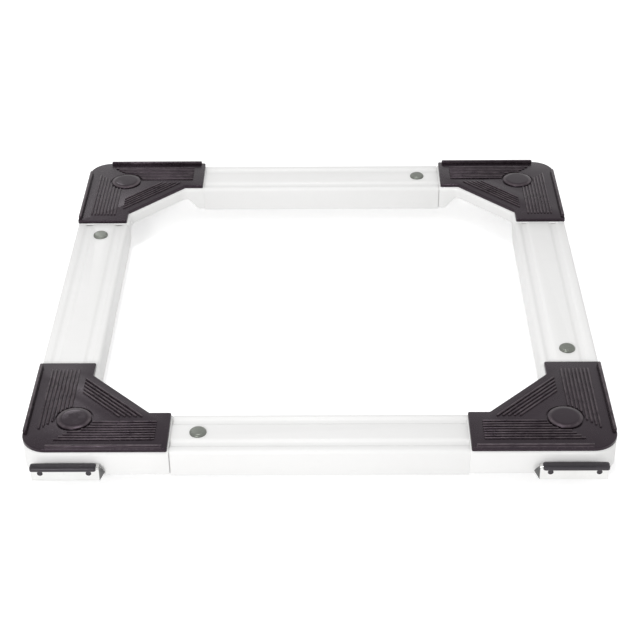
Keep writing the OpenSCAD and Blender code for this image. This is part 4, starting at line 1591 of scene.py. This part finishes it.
@dataclass
class BrakePedals:
    """The two foot brakes at the front corners.

    A corner of the ear has its distances past the plate's end and behind its front, and its height.
    The pivot has its y and its height, and the leg of the shoe has its front and its back along y.
    """

    layout: Layout
    bin: Bin
    sheet: float = 1.5 * MM
    plate_from: float = 8.5 * MM
    plate_to: float = 60.0 * MM
    front: float = -7.0 * MM
    flange_end: float = -1.5 * MM
    plate_top: float = 26.0 * MM
    plate_bottom: float = 14.4 * MM
    bend: float = 1.9 * MM
    ear: Spot = (3.78 * MM, 5.4 * MM, 18.75 * MM)
    ear_top: Spot = (1.26 * MM, 1.8 * MM, 25.8 * MM)
    hole_radius: float = 2.1 * MM
    hole_z: float = 21.4 * MM
    holes: tuple[float, float] = (15.5 * MM, 52.0 * MM)
    stud_sink: float = 0.5 * MM
    stud_room: float = 0.1 * MM
    grip_side: float = 2.0 * MM
    grip_top: float = 0.8 * MM
    grip_foot: float = 0.4 * MM
    grip_room: float = 0.02 * MM
    shoe_blocks: int = 4
    shoe_groove: float = 0.4 * MM
    shoe_groove_depth: float = 0.5 * MM
    shoe_edge: float = 0.4 * MM
    lever_from: float = 18.5 * MM
    lever_to: float = 50.0 * MM
    web_end: float = 8.0 * MM
    pivot: tuple[float, float] = (13.0 * MM, 19.5 * MM)
    cheek_front: float = 4.0 * MM
    cheek_half: float = 4.0 * MM
    ear_round: float = 4.5 * MM
    leg: tuple[float, float] = (15.3 * MM, 16.8 * MM)
    leg_bottom: float = 5.0 * MM
    cut_edge: float = 0.2 * MM

    def build(self) -> None:
        """Models one pedal's pieces and mirrors them for the other side."""
        kept = ((self.lever(), CHROME, "pedal", "pedal_lever"),
                (self.grip(), GRIP_RUBBER, "pedal", "pedal_grip"),
                (self.shoe(), GRIP_RUBBER, "pedal", "brake_shoe"),
                (self.bracket(), ZINC_BRACKET, "front", "pedal_bracket"))
        for source, finish, body, node in kept:
            self.bin.keep_pair(source, False, finish, body, node)
        self.bin.dress("pedal_pin", PIN_STEEL)

    def box(self, node: str) -> tuple[Vector, Vector]:
        """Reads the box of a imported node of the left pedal."""
        return self.layout.local_box(f"{node}_left", self.layout.at_side(Side.LEFT, False))

    def plate(self) -> Piece:
        """Models the front plate with its bent flange and slanted ear.

        Returns:
            The plate, drilled.
        """
        start, end = (self.plate_from, self.front), (self.plate_to, self.flange_end)
        piece = BENCH.sheet("Plate", start, end, self.plate_top)
        edge_top = self.plate_top - self.bend
        far = self.plate_to + self.ear[0]
        with BENCH.editing(piece):
            BENCH.extrude(Part.EDGE, at(Y, self.front), (0, 0, self.plate_bottom - self.plate_top))
            BENCH.bevel(Part.EDGE, at(Y, self.front), self.bend, steps=5, fold=Fold.BENT)
            BENCH.extrude(Part.EDGE, lambda p: near(p.y, self.front) and near(p.x, self.plate_to),
                          (self.ear[0], self.ear[1], 0))
            for old, (x, y, new) in ((self.plate_bottom, self.ear), (edge_top, self.ear_top)):
                BENCH.shift(Part.VERTEX, lambda p: near(p.x, far) and near(p.z, old),
                            (x - self.ear[0], y - self.ear[1], new - old))
        BENCH.face_up(piece)
        BENCH.thicken(piece, self.sheet)
        for x in self.holes:
            start, end = (x, 2 * self.front, self.hole_z), (x, self.flange_end, self.hole_z)
            BENCH.cut(piece, BENCH.rod("Drill", start, end, self.hole_radius, sides=32))
        BENCH.soften(piece, self.cut_edge)
        return piece

    def lever(self) -> Piece:
        """Models the lever: the plate, the web behind it, two cheeks and the leg of the shoe.

        Returns:
            The lever.
        """
        pivot_z = self.pivot[1]
        half = self.sheet / 2
        web = BENCH.block("Web", (self.lever_from, self.front + half, pivot_z - half),
                          (self.lever_to, self.web_end, pivot_z + half))
        leg = BENCH.block("Leg", (self.lever_from, self.leg[0], self.leg_bottom),
                          (self.lever_to, self.leg[1], pivot_z))
        cheeks = [self.cheek(x) for x in (self.lever_from, self.lever_to - self.sheet)]
        for piece in (web, leg):
            BENCH.soften(piece, self.cut_edge)
        return BENCH.join("Lever", [self.plate(), web, leg, *cheeks])

    def cheek(self, x: float) -> Piece:
        """Models one side of the lever, from the web over the pivot down to the shoe.

        Args:
            x: Where its outer face is.

        Returns:
            The cheek.
        """
        pivot_y, pivot_z = self.pivot
        piece = BENCH.block("Cheek", (x, self.cheek_front, pivot_z - self.sheet / 2),
                            (x + self.sheet, pivot_y + self.cheek_half, pivot_z + self.cheek_half))
        with BENCH.editing(piece):
            turn = (pivot_z - self.cheek_half, pivot_y - self.cheek_half, pivot_y + self.cheek_half)
            for level, front, back in (turn, (self.leg_bottom, *self.leg)):
                lowest = min(v.co.z for v in bmesh.from_edit_mesh(piece.data).verts)
                BENCH.extrude(Part.FACE, at(Z, lowest), (0, 0, level - lowest))
                ends = [v.co.y for v in bmesh.from_edit_mesh(piece.data).verts if near(v.co.z, level)]
                for old, new in ((min(ends), front), (max(ends), back)):
                    BENCH.shift(Part.VERTEX, lambda p: near(p.z, level) and near(p.y, old),
                                (0, new - old, 0))
        BENCH.soften(piece, self.cut_edge)
        return piece

    def grip(self) -> Piece:
        """Models the rubber bar over the pedal's top edge, with its studs in the plate's holes.

        Returns:
            The bar.
        """
        low, high = self.box("pedal_grip")
        piece = BENCH.block("Grip", low, high)
        with BENCH.editing(piece):
            BENCH.bevel(Part.EDGE, at(Z, (low.z + high.z) / 2), self.grip_side, steps=6, middle=True)
            BENCH.bevel(Part.EDGE, at(Z, high.z), self.grip_top, steps=4, fold=Fold.SQUARE)
            BENCH.bevel(Part.EDGE, at(Z, low.z), self.grip_foot, steps=3, fold=Fold.SQUARE)
        under = BENCH.block("Under", (low.x - MM, self.front - self.grip_room, low.z - MM),
                            (high.x + MM, high.y + MM, self.plate_top + self.grip_room))
        BENCH.cut(piece, under)
        studs = []
        for x in self.holes:
            start = (x, self.front + self.stud_sink, self.hole_z)
            end = (x, self.front + self.sheet + self.stud_sink, self.hole_z)
            studs.append(BENCH.rod("Stud", start, end, self.hole_radius - self.stud_room, sides=24))
        return BENCH.join("Grip", [piece, *studs])

    def shoe(self) -> Piece:
        """Models the brake shoe, a rubber block with grooves across its face.

        Returns:
            The shoe.
        """
        low, high = self.box("brake_shoe")
        piece = BENCH.block("Shoe", low, high)
        with BENCH.editing(piece):
            for k in range(1, self.shoe_blocks):
                z = low.z + (high.z - low.z) * k / self.shoe_blocks
                for edge in (-self.shoe_groove, 0, self.shoe_groove):
                    BENCH.split((0, 0, z + edge), (0, 0, 1))
                BENCH.shift(Part.EDGE, lambda p: near(p.z, z) and near(p.y, high.y),
                            (0, -self.shoe_groove_depth, 0))
        BENCH.soften(piece, self.shoe_edge, steps=3, angle=60)
        return piece

    def bracket(self) -> Piece:
        """Models the bracket that holds the pivot pin between two flanges.

        Returns:
            The bracket.
        """
        pivot_y, pivot_z = self.pivot
        return bent_yoke("Bracket", *self.box("pedal_bracket"), pivot_y, pivot_y, pivot_z, self.ear_round,
                         self.sheet)


def bent_yoke(name: str, low: Vector, high: Vector, top_middle: float, end_middle: float, end_height: float,
              end_radius: float, sheet: float) -> Piece:
    """Models a plate with two cheeks bent down, each with a round lower end.

    Args:
        name: Name of the new piece.
        low: Lowest corner of its box.
        high: Highest corner of its box.
        top_middle: Middle of its plate along y.
        end_middle: Middle of the cheeks' ends along y.
        end_height: Height of the cheeks' ends' middle.
        end_radius: Radius of the cheeks' ends.
        sheet: Thickness of the sheet.

    Returns:
        The yoke.
    """
    end_share, bend_share, edge_share = 0.98, 1.2, 1 / 8
    half = high.y - top_middle
    piece = BENCH.sheet(name, (low.x, top_middle - half), (high.x, top_middle + half), high.z)
    bottom = end_height - end_radius
    with BENCH.editing(piece):
        BENCH.extrude(Part.EDGE, at(X, low.x, high.x), (0, 0, bottom - high.z), middle=True)
        for side in (-1, 1):
            BENCH.shift(Part.VERTEX, lambda p: near(p.z, bottom) and (p.y - top_middle) * side > 0,
                        (0, end_middle + side * end_radius - top_middle - side * half, 0))
        BENCH.bevel(Part.VERTEX, at(Z, bottom), end_radius * end_share, steps=8)
        BENCH.bevel(Part.EDGE, at(Z, high.z), sheet * bend_share, steps=5, fold=Fold.SQUARE)
    BENCH.face_up(piece)
    BENCH.thicken(piece, sheet)
    BENCH.soften(piece, sheet * edge_share)
    return piece


@dataclass
class Wheels:
    """The fixed rollers at the front and the swivel casters at the rear."""

    layout: Layout
    bin: Bin
    sheet: float = 1.5 * MM
    wheel: float = 37.0 * MM
    axle_height: float = 14.0 * MM
    trail: float = 9.0 * MM
    axle_radius: float = 3.0 * MM
    axle_head: float = 1.0 * MM
    bore_room: float = 0.05 * MM
    boss_radius: float = 5.0 * MM
    cheek_end: float = 5.5 * MM
    shoulder: float = 2.0 * MM
    tread_groove: float = 0.7 * MM
    recess: float = 2.0 * MM
    round: float = 0.4 * MM
    hub_radius: float = field(init=False)

    def __post_init__(self) -> None:
        """Reads the hubs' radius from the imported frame."""
        low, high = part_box("roller_hub_left")
        self.hub_radius = (high.z - low.z) / 2

    def build(self) -> None:
        """Models the rollers and casters of both sides."""
        for rear, kind in ((False, "roller"), (True, "caster")):
            body = "caster_wheel" if rear else "roller"
            holder = "swivel" if rear else "front"
            bracket = "caster_fork" if rear else "roller_bracket"
            place = self.layout.at_side(Side.LEFT, rear)
            kept = ((self.hub(kind, place), HUB_PLASTIC, body, f"{kind}_hub"),
                    (self.tyre(kind, place), TYRE_RUBBER, body, f"{kind}_tyre"),
                    (self.axle(kind, place), PIN_STEEL, holder, f"{kind}_axle"),
                    (self.yoke(bracket, rear, place), ZINC_BRACKET, holder, bracket))
            for source, finish, mover, node in kept:
                self.bin.keep_pair(source, rear, finish, mover, node)
        for node, finish in (("front_rivets", PIN_STEEL), ("king_pin", PIN_STEEL),
                             ("caster_plate", ZINC_BRACKET), ("thrust_washer", NYLON)):
            self.bin.dress(node, finish)

    def yoke(self, node: str, rear: bool, place: Matrix) -> Piece:
        """Models a roller's bracket or a caster's fork.

        Args:
            node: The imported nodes' name without the side.
            rear: Whether it is the caster's.
            place: Place of the left one.

        Returns:
            The yoke.
        """
        box = self.layout.local_box(f"{node}_left", place)
        end = self.wheel - (self.trail if rear else 0)
        return bent_yoke("Yoke", *box, self.wheel, end, self.axle_height, self.cheek_end, self.sheet)

    def section(self, name: str, node: str, inner: float, place: Matrix) -> tuple[Piece, Vector, Vector]:
        """Adds the flat rectangle that a wheel's ring is turned from.

        Args:
            name: Name of the new piece.
            node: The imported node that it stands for.
            inner: Radius of the ring's bore.
            place: Place of the left one.

        Returns:
            The rectangle in the level plane of the axle, the middle of the wheel, and half its size.
        """
        low, high = self.layout.local_box(node, place)
        middle, half = (low + high) / 2, (high - low) / 2
        piece = BENCH.sheet(name, (low.x, middle.y + inner), (high.x, middle.y + half.y), middle.z)
        return piece, middle, half

    def hub(self, kind: str, place: Matrix) -> Piece:
        """Models a hub: a tube for the axle, a thinner web and a rim under the tyre.

        Args:
            kind: Roller or caster.
            place: Place of the left one.

        Returns:
            The hub.
        """
        tyre_low, tyre_high = self.layout.local_box(f"{kind}_tyre_left", place)
        bore = self.axle_radius + self.bore_room
        piece, middle, half = self.section("Hub", f"{kind}_hub_left", bore, place)
        face = (tyre_high.x - tyre_low.x) / 2
        rim = half.y - 3 * self.round
        steps = (self.boss_radius, self.boss_radius + self.round, rim - self.round, rim)
        widths = ((steps[1], steps[2], face - self.recess), (rim, half.y, face))
        with BENCH.editing(piece):
            for radius in steps:
                BENCH.split((0, middle.y + radius, 0), (0, 1, 0))
            for side in (-1, 1):
                for low_r, high_r, width in widths:
                    BENCH.shift(Part.VERTEX, lambda p: low_r - NEAR < p.y - middle.y < high_r + NEAR
                                and near(p.x, middle.x + side * half.x), (side * (width - half.x), 0, 0))
        BENCH.spun(piece, middle, (1, 0, 0), steps=48)
        return piece

    def tyre(self, kind: str, place: Matrix) -> Piece:
        """Models a solid tyre with round shoulders and two grooves in its tread.

        Args:
            kind: Roller or caster.
            place: Place of the left one.

        Returns:
            The tyre.
        """
        piece, middle, half = self.section("Tyre", f"{kind}_tyre_left", self.hub_radius, place)
        tread = middle.y + half.y
        with BENCH.editing(piece):
            BENCH.bevel(Part.VERTEX, at(Y, tread), self.shoulder, steps=6)
            for groove in (-half.x / 3, half.x / 3):
                for edge in (-self.tread_groove, 0, self.tread_groove):
                    BENCH.split((middle.x + groove + edge, 0, 0), (1, 0, 0))
                BENCH.shift(Part.VERTEX, lambda p: near(p.y, tread) and near(p.x, middle.x + groove),
                            (0, -self.tread_groove, 0))
        BENCH.spun(piece, middle, (1, 0, 0), steps=72)
        return piece

    def axle(self, kind: str, place: Matrix) -> Piece:
        """Models an axle with a flat rounded head at each end.

        Args:
            kind: Roller or caster.
            place: Place of the left one.

        Returns:
            The axle.
        """
        low, high = self.layout.local_box(f"{kind}_axle_left", place)
        middle = (low + high) / 2
        radius = high.z - middle.z
        start = (low.x + self.round, middle.y, middle.z)
        end = (high.x - self.round, middle.y, middle.z)
        pieces = [BENCH.rod("Axle", start, end, self.axle_radius, sides=32)]
        for x, inward in ((low.x, self.axle_head), (high.x, -self.axle_head)):
            outer, inner = (x, middle.y, middle.z), (x + inward, middle.y, middle.z)
            head = BENCH.rod("Cap", outer, inner, radius, sides=32)
            with BENCH.editing(head):
                BENCH.bevel(Part.EDGE, at(X, x), self.round, steps=3)
            pieces.append(head)
        return BENCH.join("Axle", pieces)


@dataclass
class Studio:
    """The pale floor, the soft lamps and the camera at the photograph's angle.

    Each lamp has a name, a place and the width of its square in metres, and a power in watts.
    """

    focal: float = 88.4
    sensor: float = 36.0
    distance: float = 1319.5 * MM
    elevation: float = math.radians(34.0)
    azimuth: float = math.radians(0.61)
    roll: float = math.radians(-0.55)
    target: Spot = (-0.3 * MM, -43.8 * MM, 36.0 * MM)
    clip_start: float = 50.0 * MM
    floor_size: float = 12.0
    floor_height: float = -0.05 * MM
    floor_shade: Colour = (0.9, 0.9, 0.9, 1)
    floor_roughness: float = 0.9
    floor_glow: float = 0.54
    world_strength: float = 0.58
    lamps: tuple[tuple[str, Spot, float, float], ...] = (
        ("Key", (-0.6, -1.95, 1.0), 0.4, 16.5),
        ("Top", (-0.1, 0.2, 2.2), 0.3, 10.0),
        ("Back", (-0.62, 1.75, 1.2), 0.3, 1.0))

    def build(self) -> None:
        """Sets up everything around the object."""
        self.camera()
        self.floor()
        self.world()
        for each in self.lamps:
            self.lamp(*each)
        bpy.context.scene.view_settings.view_transform = "Standard"

    def added(self, name: str, data: bpy.types.ID) -> Piece:
        """Adds a camera or a lamp to the scene.

        Args:
            name: Its name.
            data: The camera or the lamp.

        Returns:
            The new object.
        """
        item = bpy.data.objects.new(name, data)
        bpy.context.scene.collection.objects.link(item)
        return item

    def camera(self) -> None:
        """Places the camera as the photograph's outline of the frame asks."""
        sin_az, cos_az = math.sin(self.azimuth), math.cos(self.azimuth)
        sin_el, cos_el = math.sin(self.elevation), math.cos(self.elevation)
        back = Vector((sin_az * cos_el, -cos_az * cos_el, sin_el))
        right = Vector((cos_az, sin_az, 0))
        up = back.cross(right)
        turned = math.cos(self.roll) * right + math.sin(self.roll) * up
        raised = math.cos(self.roll) * up - math.sin(self.roll) * right
        data = bpy.data.cameras.new("Camera")
        data.sensor_fit = "HORIZONTAL"
        data.sensor_width = self.sensor
        data.lens = self.focal
        data.clip_start = self.clip_start
        camera = self.added("Camera", data)
        axes = Matrix((turned, raised, back)).transposed().to_4x4()
        camera.matrix_world = Matrix.Translation(Vector(self.target) + back * self.distance) @ axes
        bpy.context.scene.camera = camera

    def is_seen(self, w: Wiring) -> Socket:
        """Adds a mask of the rays that show the background: the camera's, mirrored and refracted ones.

        Args:
            w: The wiring that the mask goes into.

        Returns:
            The mask.
        """
        path = w.add("ShaderNodeLightPath")
        seen = w.sum("MAXIMUM", path.outputs["Is Camera Ray"], path.outputs["Is Glossy Ray"])
        return w.sum("MAXIMUM", seen, path.outputs["Is Transmission Ray"])

    def floor(self) -> None:
        """Lays a pale floor that keeps the object's shadow, and that isn't seen from below."""
        reach = self.floor_size / 2
        floor = BENCH.sheet("Floor", (-reach, -reach), (reach, reach), self.floor_height)
        material = bpy.data.materials.new("Pale_floor")
        material.use_nodes = True
        w = Wiring(material.node_tree)
        shader = material.node_tree.nodes["Principled BSDF"]
        shader.inputs["Base Color"].default_value = self.floor_shade
        shader.inputs["Roughness"].default_value = self.floor_roughness
        glow = w.add("ShaderNodeEmission", Color=WHITE, Strength=self.floor_glow)
        total = w.add("ShaderNodeAddShader")
        w.join(shader.outputs[0], total.inputs[0])
        w.join(glow.outputs[0], total.inputs[1])
        pale = w.shaders(self.is_seen(w), shader.outputs[0], total.outputs[0])
        clear = w.add("ShaderNodeBsdfTransparent").outputs[0]
        either = w.shaders(w.add("ShaderNodeNewGeometry").outputs["Backfacing"], pale, clear)
        w.join(either, material.node_tree.nodes["Material Output"].inputs["Surface"])
        floor.data.materials.append(material)

    def world(self) -> None:
        """Surrounds the object with even pale light and a white background."""
        world = bpy.data.worlds.new("Studio")
        bpy.context.scene.world = world
        world.use_nodes = True
        w = Wiring(world.node_tree)
        ground = world.node_tree.nodes["Background"]
        ground.inputs["Color"].default_value = WHITE
        ground.inputs["Strength"].default_value = self.world_strength
        white = w.add("ShaderNodeBackground", Color=WHITE, Strength=1.0)
        shown = w.shaders(self.is_seen(w), ground.outputs[0], white.outputs[0])
        w.join(shown, world.node_tree.nodes["World Output"].inputs["Surface"])

    def lamp(self, name: str, place: Spot, size: float, power: float) -> None:
        """Hangs a large soft lamp that looks at the object.

        Args:
            name: Name of the lamp.
            place: Where it hangs.
            size: Width of its square.
            power: Its power in watts.
        """
        data = bpy.data.lights.new(name, "AREA")
        data.shape = "SQUARE"
        data.size = size
        data.energy = power
        lamp = self.added(name, data)
        lamp.location = place
        lamp.rotation_euler = Vector(place).to_track_quat("Z", "Y").to_euler()


def main() -> None:
    """Builds the sub-assemblies in order, then the studio around them."""
    logging.basicConfig(level=logging.INFO, format="%(name)s: %(message)s")
    layout = Layout.read()
    keeper = Bin(Effects.build(), layout)
    steel = FrameSteel(layout, keeper)
    for part in (steel, RubberPads(layout, keeper, steel), ClampScrews(layout, keeper),
                 BrakePedals(layout, keeper), Wheels(layout, keeper), Studio()):
        part.build()
        LOG.info("%s is done", type(part).__name__)
    LOG.info("%d pieces are dressed", keeper.count)


if __name__ == "__main__":
    main()
